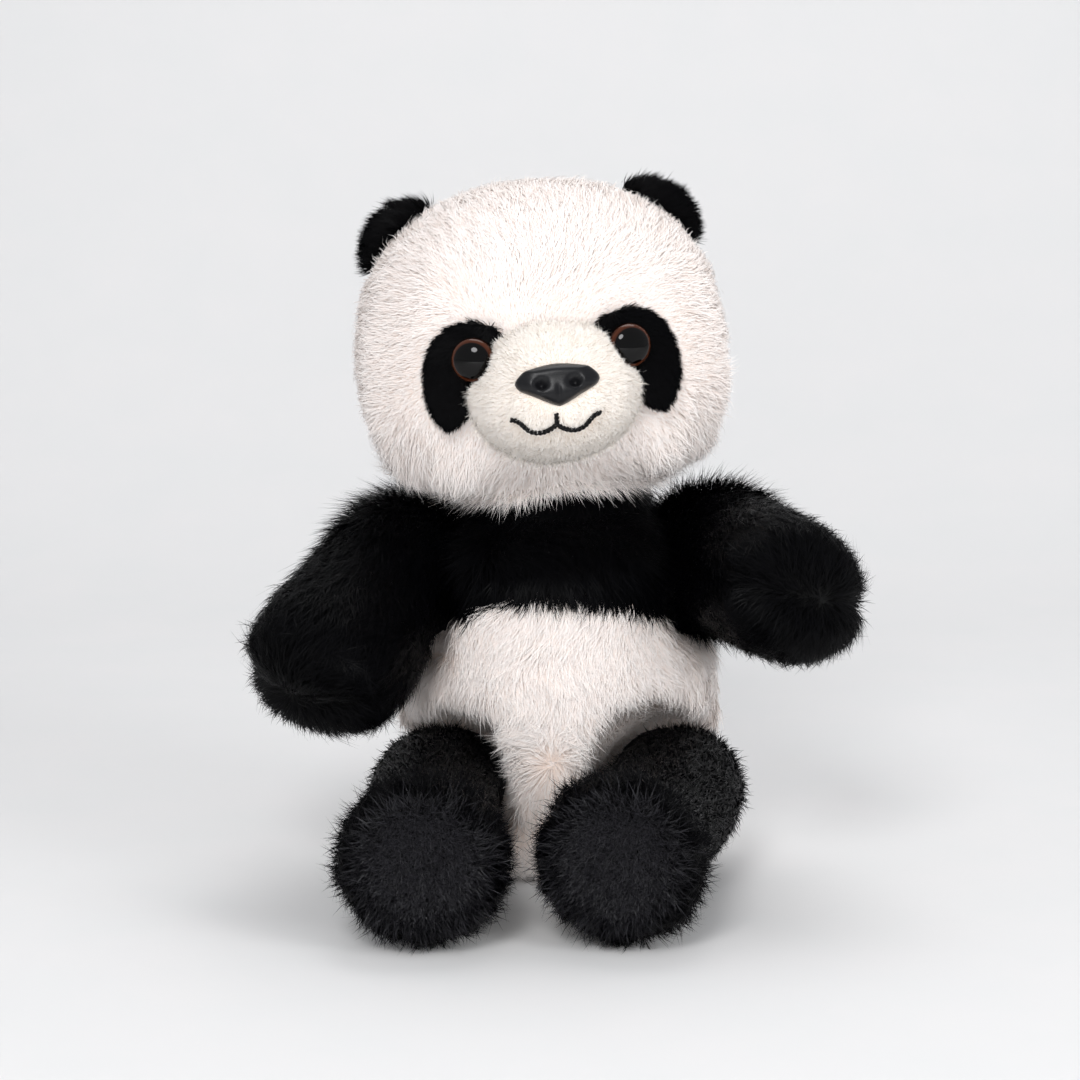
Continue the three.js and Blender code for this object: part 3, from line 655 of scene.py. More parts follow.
TONES = 64  # how many tones a colour of fur comes in
STRIP_HALF_WIDTH = 0.004  # of a strand's strip in the map, which is 1 wide
GROUND_GAP = 0.2 * MM


def brush(obj, towards, lean, pile):
    """Stores which way the fur of a bag leans, how far it leans, and how long it is."""
    out = unit(normals_of(obj))
    flat = towards - out * np.sum(towards * out, axis=1, keepdims=True)
    count = len(out)
    write_attribute(obj, "out", "FLOAT_VECTOR", out)
    write_attribute(obj, "comb", "FLOAT_VECTOR", unit(flat))
    write_attribute(obj, "lean", "FLOAT", np.broadcast_to(lean, count))
    write_attribute(obj, "pile", "FLOAT", np.broadcast_to(pile, count))


def plant(name, bag_object, mask, blade, body, material, soften=0.95, **planting_settings):
    """Plants fur on a bag where mask is 1. The strands become one mesh that rides on a body.

    Soften is how far a strand's shading follows the bag under it instead of its own blade.
    """
    write_attribute(bag_object, "mask", "FLOAT", mask)
    fur = bpy.data.objects.new(name, bag_object.data.copy())
    bpy.context.scene.collection.objects.link(fur)
    fur.data.name = name
    fur.data.materials.clear()
    only(fur)
    grower = fur.modifiers.new("Planting", "NODES")
    grower.node_group = planting(name, blade, **planting_settings)
    bpy.ops.object.modifier_apply(modifier="Planting")
    bpy.ops.object.shade_smooth()
    fur.data.materials.clear()
    fur.data.materials.append(material)

    # Each strand takes one narrow upright strip of the map: across is its tone, up is its length.
    tone = read_attribute(fur, "tone", 1)
    along = read_attribute(fur, "along", 1)
    corner = np.zeros(len(fur.data.loops), np.int32)
    fur.data.loops.foreach_get("vertex_index", corner)
    strip = np.stack([0.02 + 0.95 * np.floor(tone * TONES) / TONES, along], axis=1)[corner]
    side = read_attribute(fur, "side", 1)[corner]
    strip[:, 0] += side * STRIP_HALF_WIDTH
    layer = fur.data.uv_layers.new(name="OFBake")
    layer.uv.foreach_set("vector", strip.astype(np.float32).ravel())

    own = unit(normals_of(fur))
    under = unit(read_attribute(fur, "out", 3))
    facing = np.sign(np.sum(own * under, axis=1, keepdims=True) + 1e-6)
    shading = unit(own * (1 - soften) + under * facing * soften)
    fur.data.normals_split_custom_set_from_vertices(shading)
    for old in ("tone", "along", "side", *BRUSHED):
        layer = fur.data.attributes.get(old)
        if layer:
            fur.data.attributes.remove(layer)
    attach(fur, body)
    # Strands that meet the ground are pressed flat on it.
    places = points_of(fur)
    places[:, 2] = np.maximum(places[:, 2], GROUND_GAP)
    move_points(fur, places)
    strands = len(fur.data.polygons) // len(blade.data.polygons)
    print(name, "has", strands, "strands")
    return fur


# %% Mark each strand's length and sides
for blade in (long_strand, short_strand):
    places = points_of(blade)
    travel = places[:, 2] / places[:, 2].max()
    write_attribute(blade, "along", "FLOAT", travel)
    write_attribute(blade, "side", "FLOAT", np.sign(places[:, 0]))
    blade.hide_render = True
    print(blade.name, "steps at", sorted({round(float(t), 2) for t in travel}), "of its length")

# %% [markdown]
# ## What the fur is made of
#
# Plush pile is acrylic or polyester: a clear plastic fibre, dyed through, with a soft shine. Two
# things make it look like fur. No two fibres have quite the same tone, and a fibre is painted
# darker at its root than at its tip: painted shade, for where its neighbours shade it. Both are
# read from the strand's own map, where across is its tone and up is its length.


# %% Fur materials
def fibre(name, root, dark_tip, light_tip, roughness, shine):
    """Dyed fibre: its root colour, painted darker as shade, and the range of its tips' colours."""
    material, tree, shader = new_material(name, Roughness=roughness)
    shader.inputs["Specular IOR Level"].default_value = shine
    strand_map = add_node(tree, "ShaderNodeUVMap", uv_map="OFBake")
    parts = add_node(tree, "ShaderNodeSeparateXYZ", {0: strand_map.outputs["UV"]})
    tips = add_node(tree, "ShaderNodeValToRGB", {"Fac": parts.outputs["X"]})
    set_ramp(tips, [(0.0, dark_tip), (1.0, light_tip)])
    # The painted shade of the neighbours ends early, so most of a strand has its tip's colour.
    grown = add_node(tree, "ShaderNodeMath", {0: parts.outputs["Y"], 1: 0.6}, operation="POWER")
    colour = add_node(
        tree, "ShaderNodeMix", {"Factor": grown, 6: linear(root), 7: tips}, data_type="RGBA"
    )
    tree.links.new(colour.outputs[2], shader.inputs["Base Color"])
    return material


white_acrylic = fibre("white_acrylic_pile", "#F2DCCD", "#FCF5F2", "#FFFEFD", 0.7, 0.2)
cream_plush = fibre("cream_polyester_plush", "#FCEBDA", "#FFF9F1", "#FFFDFA", 0.75, 0.2)
black_acrylic = fibre("black_acrylic_pile", "#010101", "#020203", "#08080B", 0.4, 0.07)
black_plush = fibre("black_polyester_plush", "#010101", "#020203", "#060608", 0.5, 0.07)
# The sole's short pile is black; its tips are painted a lighter grey than the other black pile, as
# painted light where the soles face the lamps.
sole_pile_painted_light = fibre("black_sole_pile_painted_light", "#040405", "#131316", "#302F34", 0.45, 0.3)
print("fur materials:", [m.name for m in bpy.data.materials if m != paper_white])


# %% Backing cloth
def knit(name, colour, shade):
    """The knitted backing that the pile is rooted in, with a loop about every 1.5 mm."""
    material, tree, shader = new_material(name, Roughness=0.95)
    coordinates = add_node(tree, "ShaderNodeTexCoord")
    loops = add_node(
        tree,
        "ShaderNodeTexVoronoi",
        {"Vector": coordinates.outputs["Object"], "Scale": 1 / (1.5 * MM)},
    )
    tint = add_node(tree, "ShaderNodeValToRGB", {"Fac": loops.outputs["Distance"]})
    set_ramp(tint, [(0.0, colour), (0.8, shade)])
    tree.links.new(tint.outputs["Color"], shader.inputs["Base Color"])
    bump = add_node(
        tree, "ShaderNodeBump", {"Height": loops.outputs["Distance"], "Distance": 0.3 * MM}
    )
    bump.invert = True
    tree.links.new(bump.outputs["Normal"], shader.inputs["Normal"])
    return material


white_backing = knit("white_knit_backing", "#F3E8E3", "#E6D8D1")
cream_backing = knit("cream_knit_backing", "#F3EAE0", "#E6DACC")
black_backing = knit("black_knit_backing", "#040405", "#010101")

# %% [markdown]
# ## Brushing each part
#
# Fur is combed from the face outwards, down the body, and along each limb to its end. At a paw
# and round a sole the pile fans out over the seam. Each bag stores that direction point by
# point, with the pile's length, before it is planted.


# %% How near a bag's points are to a CAD node
def near(obj, node):
    """How far each point of a bag is from a CAD node's surface."""
    mesh = frame["nodes"][node].data
    spots = [v.co for v in mesh.vertices]
    tree = BVHTree.FromPolygons(spots, [p.vertices for p in mesh.polygons])
    return np.array([tree.find_nearest(Vector(p))[3] for p in points_of(obj)])


def open_air(obj, others, reach):
    """Whether nothing lies over each point of a bag, within a reach along its normal."""
    free = np.ones(len(obj.data.vertices), bool)
    starts, looks = points_of(obj), normals_of(obj)
    for other in others:
        spots = [v.co for v in other.data.vertices]
        tree = BVHTree.FromPolygons(spots, [p.vertices for p in other.data.polygons])
        for number in np.flatnonzero(free):
            start, look = Vector(starts[number]), Vector(looks[number])
            free[number] = tree.ray_cast(start, look, reach)[0] is None
    return free


def ruffled(combed, places, size, amount, seed):
    """A combed direction with slow random turns in it, each about a size across."""
    dice = np.random.default_rng(seed)
    turns = np.zeros_like(places)
    for _ in range(6):
        wave = unit(dice.normal(size=(1, 3)))[0] * 2 * math.pi / size * dice.uniform(0.6, 1.6)
        turns += np.sin(places @ wave + dice.uniform(0, 6))[:, None] * unit(dice.normal(size=(1, 3)))
    return unit(combed) + amount * turns / 2


def finish_bag(obj, body, material, nodes):
    obj.data.materials.clear()
    obj.data.materials.append(material)
    only(obj)
    bpy.ops.object.shade_smooth()
    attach(obj, body)
    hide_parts(*nodes)


# %% Coats of long pile
DOWN = np.array([0, 0, -1.0])


def nearest(obj, nodes):
    return np.minimum.reduce([near(obj, node) for node in nodes])


def in_head(places):
    """Places as right-to-left, front-to-back and up in the head's own axes."""
    axes = np.array([HEAD_X, HEAD_Y, HEAD_Z])
    return (np.atleast_2d(places) - np.array(HEAD_MIDDLE)) @ axes.T


def coat(name, bag_object, mask, per_mm2, body, material, seed):
    """Pile in two layers: a dense undercoat, and longer, sparser guard hairs over it."""
    dark = material == black_acrylic
    soften = 0.5 if dark else 0.97
    stray = 0.2 if dark else 0.14
    shared = dict(blade=long_strand, body=body, material=material, soften=soften, stray=stray)
    plant(
        f"{name}_undercoat", bag_object, mask, per_mm2=0.6 * per_mm2, width=0.3 * MM,
        seed=seed, length=0.8, gather=0.12, **shared,
    )
    plant(
        f"{name}_guard", bag_object, mask, per_mm2=0.4 * per_mm2, width=0.24 * MM,
        seed=seed + 500, length=1.0, gather=0.25, **shared,
    )


# %% Head
face_point = np.array(middle("muzzle_cover") + HEAD_Y * 30 * MM)
places = points_of(head)
local = in_head(places)
away = unit(places - face_point)
cheek = ease(-local[:, 2], 10 * MM, 45 * MM)
to_patch = nearest(head, [f"eye_patch_{s}" for s in SIDES])
to_muzzle = near(head, "muzzle_cover")
in_air = open_air(head, [torso, *ears.values()], 9 * MM)
near_trim = ease(np.minimum(to_patch, to_muzzle), 2 * MM, 18 * MM)
combed = away + DOWN * (0.15 + 0.9 * cheek)[:, None]
pile = (5 + 9 * near_trim + 4 * cheek * near_trim) * MM
combed = ruffled(combed, places, 45 * MM, 0.45, 1)
brush(head, combed, 0.55 - 0.1 * cheek, pile)
covered = (to_patch > 1.8 * MM) & (to_muzzle > 0.6 * MM) & in_air
front_of_head = local[:, 1] < 12 * MM
crown = local[:, 2] > 8 * MM
coat("brow_fur", head, covered & front_of_head & crown, 4.7, "head", white_acrylic, 11)
coat("cheek_fur", head, covered & front_of_head & ~crown, 3.9, "head", white_acrylic, 13)
coat("nape_fur", head, covered & ~front_of_head, 1.5, "head", white_acrylic, 15)
HEAD_NODES = ["head_face_panel", "head_back_panel", "head_stuffing"]
finish_bag(head, "head", white_backing, HEAD_NODES)

# %% Muzzle
places = points_of(muzzle)
nose_tip = np.array(middle("nose"))
to_nose = near(muzzle, "nose")
to_mouth = near(muzzle, "mouth_stitches")
to_eye = nearest(muzzle, [f"eye_{s}" for s in SIDES])
open_place = ease(np.minimum(to_nose, np.minimum(to_mouth, to_eye)), 0.5 * MM, 4 * MM)
edge_fluff = ease(-near(muzzle, "head_face_panel"), -9 * MM, -1 * MM)
pile = (4.2 + 2.5 * edge_fluff) * MM * (0.35 + 0.65 * open_place)
brush(muzzle, unit(places - nose_tip) + 0.2 * DOWN, 0.42, pile)
behind_face = in_head(places)[:, 1] > in_head(middle("muzzle_cover"))[0, 1] + 16 * MM
clear = (to_nose > 0.8 * MM) & (to_mouth > 0.6 * MM) & ~behind_face
plant(
    "muzzle_fur", muzzle, clear, short_strand, "head", cream_plush,
    per_mm2=7.0, width=0.3 * MM, seed=21, lock=4 * MM, gather=0.15, twist=1.4,
)
finish_bag(muzzle, "head", cream_backing, ["muzzle_cover", "muzzle_stuffing"])

# %% Eye patches
for number, side in enumerate(SIDES):
    patch = patches[side]
    places = points_of(patch)
    eye_place = np.array(middle(f"eye_{side}"))
    outwards = np.array(HEAD_X) * (1 if side == "left" else -1)
    brush(patch, unit(places - eye_place) + DOWN + 0.5 * outwards, 0.5, 4.5 * MM)
    plant(
        f"patch_fur_{side}", patch, near(patch, f"eye_{side}") > 0.8 * MM, short_strand, "head",
        black_plush, per_mm2=8.0, width=0.32 * MM, seed=31 + number, lock=2.5 * MM, gather=0.25,
    )
    finish_bag(patch, "head", black_backing, [f"eye_patch_{side}"])

# %% Ears
for number, side in enumerate(SIDES):
    ear = ears[side]
    # The stitches pull a sewn-on ear a little down and inwards.
    inwards = HEAD_X * (-1 if side == "left" else 1)
    ear.data.transform(Matrix.Translation((inwards - HEAD_Z) * 2.5 * MM))
    places = points_of(ear)
    root = np.array(HEAD_MIDDLE + HEAD_Z * 20 * MM)
    brush(ear, unit(places - root) * 1.2 + DOWN * 0.2, 0.5, 8.5 * MM)
    plant(
        f"ear_fur_{side}", ear, open_air(ear, [head], 6 * MM), short_strand, "head",
        black_plush, per_mm2=7.0, width=0.3 * MM, seed=41 + number, lock=3.5 * MM,
    )
    halves = [f"ear_front_{side}", f"ear_back_{side}"]
    finish_bag(ear, "head", black_backing, halves)

# %% Torso
TORSO_PANELS = ("chest_panel", "belly_panel", "back_upper_panel", "back_lower_panel")
places = points_of(torso)
arch_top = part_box("belly_panel")[1].z
arch_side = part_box("back_lower_panel")[1].z
half_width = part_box("belly_panel")[1].x
seam_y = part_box("belly_panel")[1].y
arch = arch_top - (arch_top - arch_side) * (places[:, 0] / half_width) ** 2
seam_height = np.where(places[:, 1] < seam_y, arch, arch_side)
is_white = places[:, 2] < seam_height
limbs = [*arms.values(), *legs.values()]
in_air = open_air(torso, [head, *limbs], 11 * MM)
outwards = unit(places * np.array([1.0, 1.0, 0]))
# Low on the belly the pile meets in a swirl, where it was brushed in from both thighs.
swirl_middle = np.array([-4 * MM, 0, arch_side - 38 * MM])
from_swirl = (places - swirl_middle) * np.array([1, 0, 1])
swirl = 0.75 * bell(np.linalg.norm(from_swirl, axis=1), 24 * MM)[:, None]
combed = DOWN + 0.35 * outwards
combed = combed * (1 - 0.8 * swirl) + unit(from_swirl) * swirl
combed = ruffled(combed, places, 30 * MM, 0.6, 2)
# Over each thigh the pile hangs longer, and covers the room that the leg swings in.
to_thigh = nearest(torso, [f"leg_top_panel_{s}" for s in SIDES])
hanging = ease(-to_thigh, -26 * MM, -10 * MM) * ease(-normals_of(torso)[:, 1], 0.3, 0.8)
combed = combed + DOWN * hanging[:, None]
# It stands up on the shoulders, where the jaw and the arms press it from both sides.
shoulder = ease(places[:, 2], 118 * MM, 134 * MM)
lean = 0.5 + 0.2 * hanging - 0.3 * shoulder
brush(torso, combed, lean, (14 + 9 * hanging + 6 * shoulder) * MM)
furry = in_air & (places[:, 2] > 2 * MM)
at_front = places[:, 1] < seam_y + 8 * MM
coat("belly_fur", torso, furry & is_white & at_front, 4.3, "torso", white_acrylic, 51)
coat("chest_fur", torso, furry & ~is_white & at_front, 4.0, "torso", black_acrylic, 53)
coat("seat_fur", torso, furry & is_white & ~at_front, 1.5, "torso", white_acrylic, 55)
coat("back_fur", torso, furry & ~is_white & ~at_front, 1.6, "torso", black_acrylic, 57)
finish_bag(torso, "torso", white_backing, [*TORSO_PANELS, "torso_stuffing"])
torso.data.materials.append(black_backing)
face_middles = np.array([p.center for p in torso.data.polygons])
face_arch = arch_top - (arch_top - arch_side) * (face_middles[:, 0] / half_width) ** 2
face_seam = np.where(face_middles[:, 1] < seam_y, face_arch, arch_side)
is_dark = (face_middles[:, 2] > face_seam).astype(np.int32)
torso.data.polygons.foreach_set("material_index", is_dark)

# %% Tail
brush(tail, unit(points_of(tail) - np.array(middle("back_lower_panel"))) + 0.3 * DOWN, 0.5, 10 * MM)
coat("tail_fur", tail, open_air(tail, [torso], 6 * MM), 2.5, "torso", white_acrylic, 59)
finish_bag(tail, "torso", white_backing, ["tail"])

# %% Arms
for number, side in enumerate(SIDES):
    arm = arms[side]
    along, across = arm_axes[side][1:]
    travel, outwards = along_limb(arm, arm_axes[side])
    at_paw = ease(travel, travel.max() - 28 * MM, travel.max() - 6 * MM)[:, None]
    off_seam = np.sign(outwards @ np.array(across))[:, None] * np.array(across)
    fanned = unit(outwards) + 0.5 * off_seam
    combed = np.array(along) * (1 - at_paw) + fanned * at_paw + 0.3 * DOWN
    combed = ruffled(combed, points_of(arm), 35 * MM, 0.3, 3 + number)
    # The pile stands higher on the shoulder, where it is pushed up against the head.
    shoulder = ease(-travel, -30 * MM, 0)
    brush(arm, combed, 0.45 - 0.3 * shoulder, (14 + 8 * shoulder) * MM)
    shown = open_air(arm, [torso], 11 * MM)
    coat(f"arm_fur_{side}", arm, shown, 2.4, f"arm_{side}", black_acrylic, 61 + 2 * number)
    halves = [f"arm_outer_panel_{side}", f"arm_palm_panel_{side}", f"arm_stuffing_{side}"]
    finish_bag(arm, f"arm_{side}", black_backing, halves)

# %% Legs and soles
for number, side in enumerate(SIDES):
    leg = legs[side]
    along = leg_axes[side][1]
    travel, outwards = along_limb(leg, leg_axes[side])
    radius = np.linalg.norm(outwards, axis=1)
    at_foot = ease(travel, travel.max() - 40 * MM, travel.max() - 14 * MM)[:, None]
    at_end = travel > travel.max() - 10 * MM
    on_sole = ease(SOLE_SEAM_RADIUS - radius, 1 * MM, 6 * MM) * at_end
    # Round the sole the pile fans out and forwards, so that it stands as a collar.
    fanned = unit(outwards) + np.array(along) * 0.35
    combed = np.array(along) * (1 - at_foot) + fanned * at_foot + 0.1 * DOWN
    combed = ruffled(combed, points_of(leg), 30 * MM, 0.25, 5 + number)
    lean = 0.45 + 0.15 * at_foot[:, 0] - 0.53 * on_sole
    brush(leg, combed, lean, (14 + 2.5 * at_foot[:, 0] - 12.5 * on_sole) * MM)
    shown = open_air(leg, [torso], 11 * MM) & (points_of(leg)[:, 2] > 4.0 * MM)
    # The two piles run into each other over a few millimetres, so that no edge shows.
    is_sole = on_sole > 0.35
    long_fur = (shown & (on_sole < 0.8)) * (0.55 + 0.45 * at_foot[:, 0])
    coat(f"leg_fur_{side}", leg, long_fur, 3.4, f"leg_{side}", black_acrylic, 71 + 2 * number)
    plant(
        f"sole_fur_{side}", leg, is_sole & shown, short_strand, f"leg_{side}", sole_pile_painted_light,
        soften=0.3, per_mm2=8.0, width=0.36 * MM, seed=81 + number, stray=0.4, gather=0.1, twist=3.1,
    )
    parts = [f"{part}_{side}" for part in ("leg_top_panel", "leg_under_panel", "leg_stuffing")]
    finish_bag(leg, f"leg_{side}", black_backing, [*parts, f"foot_sole_{side}"])

# %% [markdown]
# ## Eyes
#
# A safety eye is a dome of clear acrylic over a painted disc. The whole front shows one bright
# picture of the window or soft box, so its surface must be truly smooth. Half a sphere is cut
# off, flattened, and given a thin straight rim, and the painted rings follow the distance from
# the middle, which is stored on the mesh.


# %% Model an eye
def eye_dome(side):
    node = frame["nodes"][f"eye_{side}"]
    washer = middle(f"eye_washer_{side}")
    apex = max((v.co for v in node.data.vertices), key=lambda co: (co - washer).length).copy()
    look = (apex - washer).normalized()
    spots = [v.co for v in node.data.vertices]
    radius = max(((co - washer) - look * (co - washer).dot(look)).length for co in spots)
    rim = max(
        (co - washer).dot(look)
        for co in spots
        if ((co - washer) - look * (co - washer).dot(look)).length > 0.95 * radius
    )
    height = (apex - washer).length - rim
    deselect_all()
    bpy.ops.mesh.primitive_uv_sphere_add(segments=64, ring_count=48, radius=1)
    dome = bpy.context.object
    dome.name = f"safety_eye_{side}"
    bpy.ops.object.mode_set(mode="EDIT")
    bpy.ops.mesh.select_all(action="SELECT")
    bpy.ops.mesh.bisect(
        plane_co=(0, 0, 0), plane_no=(0, 0, 1), use_fill=False, clear_inner=True
    )
    bpy.ops.mesh.extrude_region_move(TRANSFORM_OT_translate={"value": (0, 0, -0.18)})
    bpy.ops.mesh.edge_face_add()
    bpy.ops.mesh.select_all(action="SELECT")
    bpy.ops.mesh.normals_make_consistent(inside=False)
    bpy.ops.object.mode_set(mode="OBJECT")
    flat = points_of(dome)
    share = np.linalg.norm(flat[:, :2], axis=1)
    write_attribute(dome, "ring", "FLOAT", np.where(flat[:, 2] < -0.05, 1.0, share))
    dome.scale = (radius, radius, height)
    bpy.ops.object.transform_apply(location=False, rotation=False, scale=True)
    turn = look.to_track_quat("Z", "Y")
    dome.data.transform(Matrix.Translation(washer + look * rim) @ turn.to_matrix().to_4x4())
    only(dome)
    bpy.ops.object.shade_smooth_by_angle(angle=math.radians(50))
    print(dome.name, "radius", round(radius / MM, 1), "dome", round(height / MM, 1), "mm")
    return dome


# %% Eye material and placing
acrylic_eye, eye_tree, eye_shader = new_material(
    "painted_acrylic_eye", Roughness=0.06, IOR=1.4, Specular_IOR_Level=0.35
)
ring = add_node(eye_tree, "ShaderNodeAttribute", attribute_name="ring")
paint = add_node(eye_tree, "ShaderNodeValToRGB", {"Fac": ring.outputs["Fac"]})
set_ramp(
    paint,
    [(0.0, "#010101"), (0.8, "#020101"), (0.84, "#381A0E"), (0.93, "#4A2616"), (1.0, "#120906")],
)
eye_tree.links.new(paint.outputs["Color"], eye_shader.inputs["Base Color"])
for side in SIDES:
    eye = eye_dome(side)
    eye.data.materials.append(acrylic_eye)
    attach(eye, "head")
    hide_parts(f"eye_{side}")

# %% [markdown]
# ## Nose
#
# The nose is one moulding of black plastic: a wide triangle with round corners, crowned in the
# middle, with a soft ridge over the top and two nostrils pressed into it. A fine grid is drawn
# into that outline and raised by a few round bumps and hollows, as a sculptor would, and a
# Solidify modifier gives it its thickness.

# %% Model the nose
nose_node = frame["nodes"]["nose"]
nose_washer = middle("nose_washer")
nose_local = in_head([v.co for v in nose_node.data.vertices])
NOSE_HALF_WIDTH = (nose_local[:, 0].max() - nose_local[:, 0].min()) / 2
plate = nose_local[np.abs(nose_local[:, 0]) > 0.35 * NOSE_HALF_WIDTH]
NOSE_MIDDLE = HEAD_MIDDLE + HEAD_Z * float((nose_local[:, 2].max() + plate[:, 2].min()) / 2)
NOSE_MIDDLE += HEAD_Y * float(plate[:, 1].mean()) + HEAD_X * float(nose_local[:, 0].mean())
nose_look = (NOSE_MIDDLE - nose_washer).normalized()
NOSE_HALF_HEIGHT = 7.4 * MM
CROWN = 5.5 * MM

deselect_all()
bpy.ops.mesh.primitive_grid_add(x_subdivisions=72, y_subdivisions=48, size=2)
nose = bpy.context.object
nose.name = "moulded_nose"
square = points_of(nose)
across, up = square[:, 0], square[:, 1]
round_x = across * np.sqrt(1 - up**2 / 2.3)
round_y = up * np.sqrt(1 - across**2 / 2.3)
edge = np.maximum(np.abs(across), np.abs(up))
taper = 0.74 + 0.3 * ease(round_y, -0.9, 0.4) - 0.3 * ease(-round_y, 0.1, 1.0)
shape_x = NOSE_HALF_WIDTH * 1.05 * round_x * taper
shape_y = NOSE_HALF_HEIGHT * round_y * (1 + 0.12 * (1 - np.abs(round_x)))
crown = CROWN * np.sqrt(np.clip(1 - edge**3.2, 0, 1))
ridge = 0.7 * MM * bell(shape_y - 4.5 * MM, 2.2 * MM) * bell(shape_x, 10 * MM)
nostril = np.zeros(len(crown))
for sign in (-1, 1):
    hollow = np.hypot((shape_x - sign * 6.4 * MM) / 1.2, shape_y + 0.7 * MM)
    nostril += 3.0 * MM * bell(hollow, 1.7 * MM)
    wing = np.hypot(shape_x - sign * 10.2 * MM, shape_y + 0.2 * MM)
    nostril -= 0.7 * MM * bell(wing, 2.6 * MM)
groove = 0.6 * MM * bell(shape_x, 0.9 * MM) * ease(-shape_y, 0, 4 * MM)
move_points(nose, np.stack([shape_x, shape_y, crown + ridge - nostril - groove], axis=1))
apply_modifier(nose, "SMOOTH", factor=0.5, iterations=2)
apply_modifier(nose, "SOLIDIFY", thickness=1.2 * MM, offset=-1)
nose_up = square_to(HEAD_Z, nose_look)
nose_side = nose_up.cross(nose_look)
nose_axes = Matrix((nose_side, nose_up, nose_look)).transposed().to_4x4()
nose.data.transform(Matrix.Translation(NOSE_MIDDLE - nose_look * 3.2 * MM) @ nose_axes)
only(nose)
bpy.ops.object.shade_smooth()

moulded_black, nose_tree, nose_shader = new_material("moulded_black_plastic", IOR=1.5)
# The mould is spark-finished, which leaves a grain of about 0.25 mm.
nose_place = add_node(nose_tree, "ShaderNodeTexCoord")
grain = add_node(
    nose_tree, "ShaderNodeTexNoise", {"Vector": nose_place.outputs["Object"], "Scale": 4000.0}
)
grain_bump = add_node(
    nose_tree, "ShaderNodeBump", {"Height": grain.outputs["Fac"], "Distance": 0.03 * MM}
)
nose_tree.links.new(grain_bump.outputs["Normal"], nose_shader.inputs["Normal"])
nose_tint = add_node(nose_tree, "ShaderNodeValToRGB", {"Fac": grain.outputs["Fac"]})
set_ramp(nose_tint, [(0.3, "#0C0C0E"), (0.7, "#131316")])
nose_tree.links.new(nose_tint.outputs["Color"], nose_shader.inputs["Base Color"])
nose_shader.inputs["Roughness"].default_value = 0.36
nose_shader.inputs["Specular IOR Level"].default_value = 0.3
nose.data.materials.append(moulded_black)
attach(nose, "head")
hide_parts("nose")
print("nose", round(2 * NOSE_HALF_WIDTH / MM, 1), "mm wide,", len(nose.data.polygons), "faces")

# %% [markdown]
# ## Mouth
#
# The mouth is sewn by hand with black embroidery thread: one stitch straight down from the nose,
# and two that curl up into the cheeks. The thread is two plies twisted together, so each stroke
# is drawn as two fine round strands that wind about one line, and the line lies on the pile.

# %% Sew the mouth
mouth_local = in_head([v.co for v in frame["nodes"]["mouth_stitches"].data.vertices])
mouth_low, mouth_high = mouth_local.min(0), mouth_local.max(0)
smile_half = (mouth_high[0] - mouth_low[0]) / 2
mouth_x = (mouth_high[0] + mouth_low[0]) / 2
PLY_RADIUS = 0.55 * MM
PLY_TURN = 3.2 * MM  # one full twist of the thread
muzzle_tree = BVHTree.FromPolygons(
    [v.co for v in muzzle.data.vertices], [p.vertices for p in muzzle.data.polygons]
)


def on_muzzle(x, z, lift):
    """The place on the muzzle's front at x and z in the head's axes, lifted off the cloth."""
    start = HEAD_MIDDLE + HEAD_X * float(x) + HEAD_Z * float(z) - HEAD_Y * 120 * MM
    hit = muzzle_tree.ray_cast(start, HEAD_Y)[0]
    return hit - HEAD_Y * lift


def sew(points, name):
    """A two-ply thread through points, by a smooth curve through them."""
    places = np.array(points)
    steps = np.concatenate([[0], np.cumsum(np.linalg.norm(np.diff(places, axis=0), axis=1))])
    fine = np.linspace(0, steps[-1], max(8, int(steps[-1] / (0.25 * MM))))
    line = np.stack([np.interp(fine, steps, places[:, i]) for i in range(3)], axis=1)
    for _ in range(12):
        line[1:-1] = (line[:-2] + 2 * line[1:-1] + line[2:]) / 4
    forward = unit(np.gradient(line, axis=0))
    side = unit(np.cross(forward, np.array(HEAD_Y)))
    rise = np.cross(side, forward)
    data = bpy.data.curves.new(name, "CURVE")
    data.dimensions = "3D"
    data.bevel_depth = PLY_RADIUS
    data.bevel_resolution = 2
    data.use_fill_caps = True
    for ply in (0, math.pi):
        angle = fine / PLY_TURN * 2 * math.pi + ply
        wound = line + PLY_RADIUS * 0.85 * (
            side * np.cos(angle)[:, None] + rise * np.sin(angle)[:, None]
        )
        spline = data.splines.new("POLY")
        spline.points.add(len(wound) - 1)
        spline.points.foreach_set("co", np.hstack([wound, np.ones((len(wound), 1))]).ravel())
    thread = bpy.data.objects.new(name, data)
    bpy.context.scene.collection.objects.link(thread)
    only(thread)
    bpy.ops.object.convert(target="MESH")
    return bpy.context.object


LIFT = 2.5 * MM
fork = mouth_high[2] - 0.38 * (mouth_high[2] - mouth_low[2])
stem = [on_muzzle(mouth_x, z, LIFT) for z in np.linspace(mouth_high[2] + 1.2 * MM, fork, 6)]
strokes = [sew(stem, "mouth_stem")]
for sign, side in ((-1, "right"), (1, "left")):
    bend = np.linspace(0, 1, 14)
    drop = fork - 3.2 * MM * np.sin(np.clip(bend * 1.25, 0, 1) * math.pi) ** 0.8
    drop = drop + ease(bend, 0.55, 1.0) * 2.4 * MM
    curl = [on_muzzle(mouth_x + sign * smile_half * b, z, LIFT) for b, z in zip(bend, drop)]
    strokes.append(sew(curl, f"mouth_curl_{side}"))

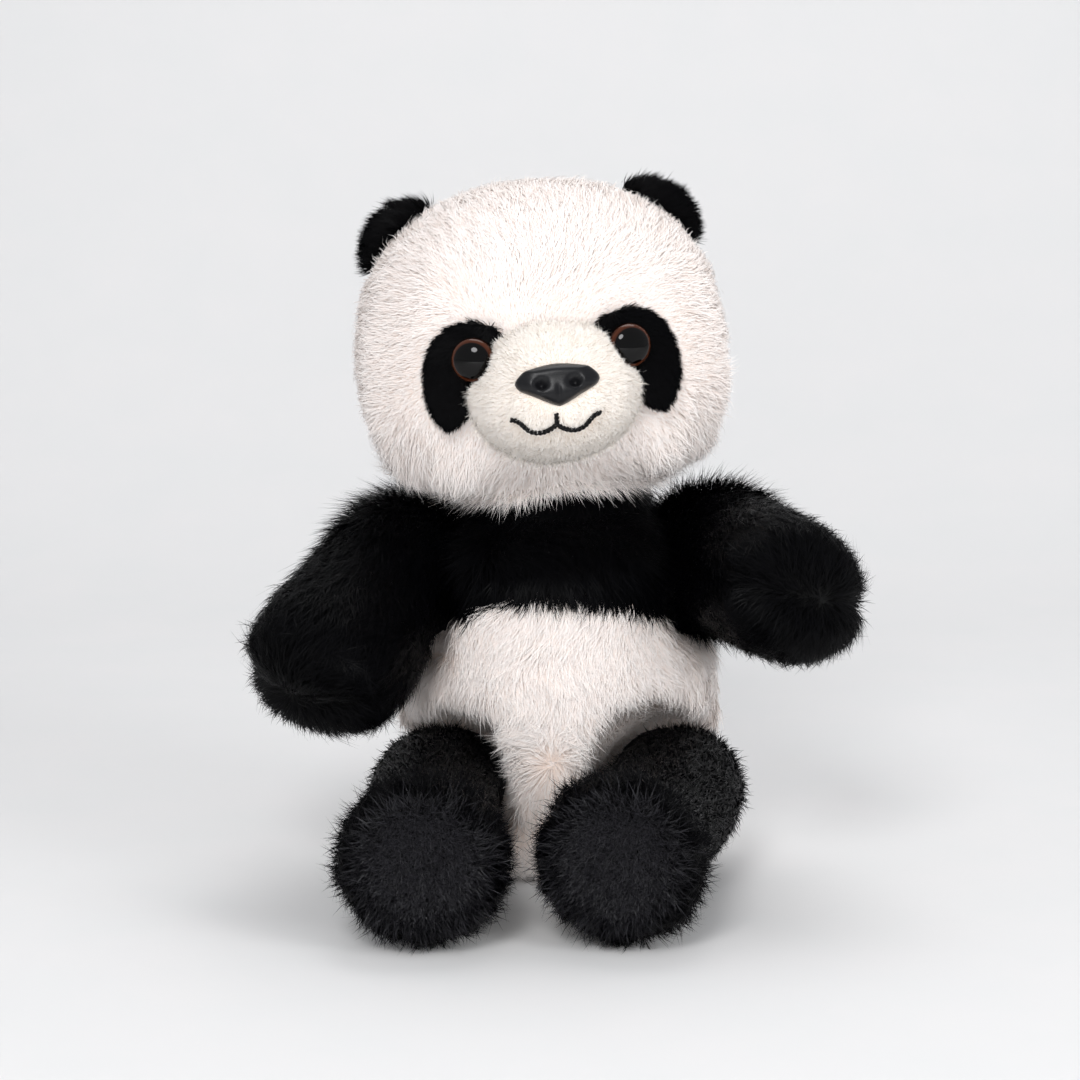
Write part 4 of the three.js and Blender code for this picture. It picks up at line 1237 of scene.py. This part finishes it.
cotton_black, thread_tree, thread_shader = new_material("mercerised_black_thread", Roughness=0.45)
thread_shader.inputs["Specular IOR Level"].default_value = 0.25
thread_place = add_node(thread_tree, "ShaderNodeTexCoord")
fibres = add_node(
    thread_tree, "ShaderNodeTexNoise", {"Vector": thread_place.outputs["Object"], "Scale": 2500.0}
)
thread_tint = add_node(thread_tree, "ShaderNodeValToRGB", {"Fac": fibres.outputs["Fac"]})
set_ramp(thread_tint, [(0.3, "#030303"), (0.7, "#0C0C0D")])
thread_tree.links.new(thread_tint.outputs["Color"], thread_shader.inputs["Base Color"])
for stroke in strokes:
    stroke.data.materials.clear()
    stroke.data.materials.append(cotton_black)
    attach(stroke, "head")
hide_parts("mouth_stitches")
print("mouth sewn with", len(strokes), "strokes")

# %% [markdown]
# ## What is inside
#
# The lock washers, the rings of seam allowance and the pellet bag stay as the frame has them,
# because their shapes are already right. They only get their own finishes.


# %% Inner finishes
def speckled(name, dark, light, scale, roughness):
    """A plain moulded or spun finish with a fine speckle of a real size."""
    material, tree, shader = new_material(name, Roughness=roughness)
    spot = add_node(tree, "ShaderNodeTexCoord")
    noise = add_node(
        tree, "ShaderNodeTexNoise", {"Vector": spot.outputs["Object"], "Scale": 1 / scale}
    )
    tint = add_node(tree, "ShaderNodeValToRGB", {"Fac": noise.outputs["Fac"]})
    set_ramp(tint, [(0.35, dark), (0.65, light)])
    tree.links.new(tint.outputs["Color"], shader.inputs["Base Color"])
    return material


nylon = speckled("natural_nylon", "#D9D6CC", "#E6E3DA", 1.0 * MM, 0.5)
calico = speckled("unbleached_calico", "#CFC9BC", "#DDD8CC", 0.8 * MM, 0.95)
black_thread = speckled("black_sewing_thread", "#0B0B0C", "#1B1B1D", 0.6 * MM, 0.7)
white_thread = speckled("white_sewing_thread", "#DCD8D0", "#ECE9E3", 0.6 * MM, 0.7)
inner = {nylon: ["nose_washer"], calico: ["pellet_bag"], white_thread: ["neck_seam_ring"]}
inner[nylon] += [f"eye_washer_{s}" for s in SIDES]
inner[black_thread] = ["closing_stitches"]
inner[black_thread] += [f"{joint}_seam_ring_{s}" for joint in ("shoulder", "hip") for s in SIDES]
for material, nodes in inner.items():
    for node in nodes:
        obj = frame["nodes"][node]
        obj.data.materials.clear()
        obj.data.materials.append(material)
print("inner finishes on", sum(len(nodes) for nodes in inner.values()), "nodes")
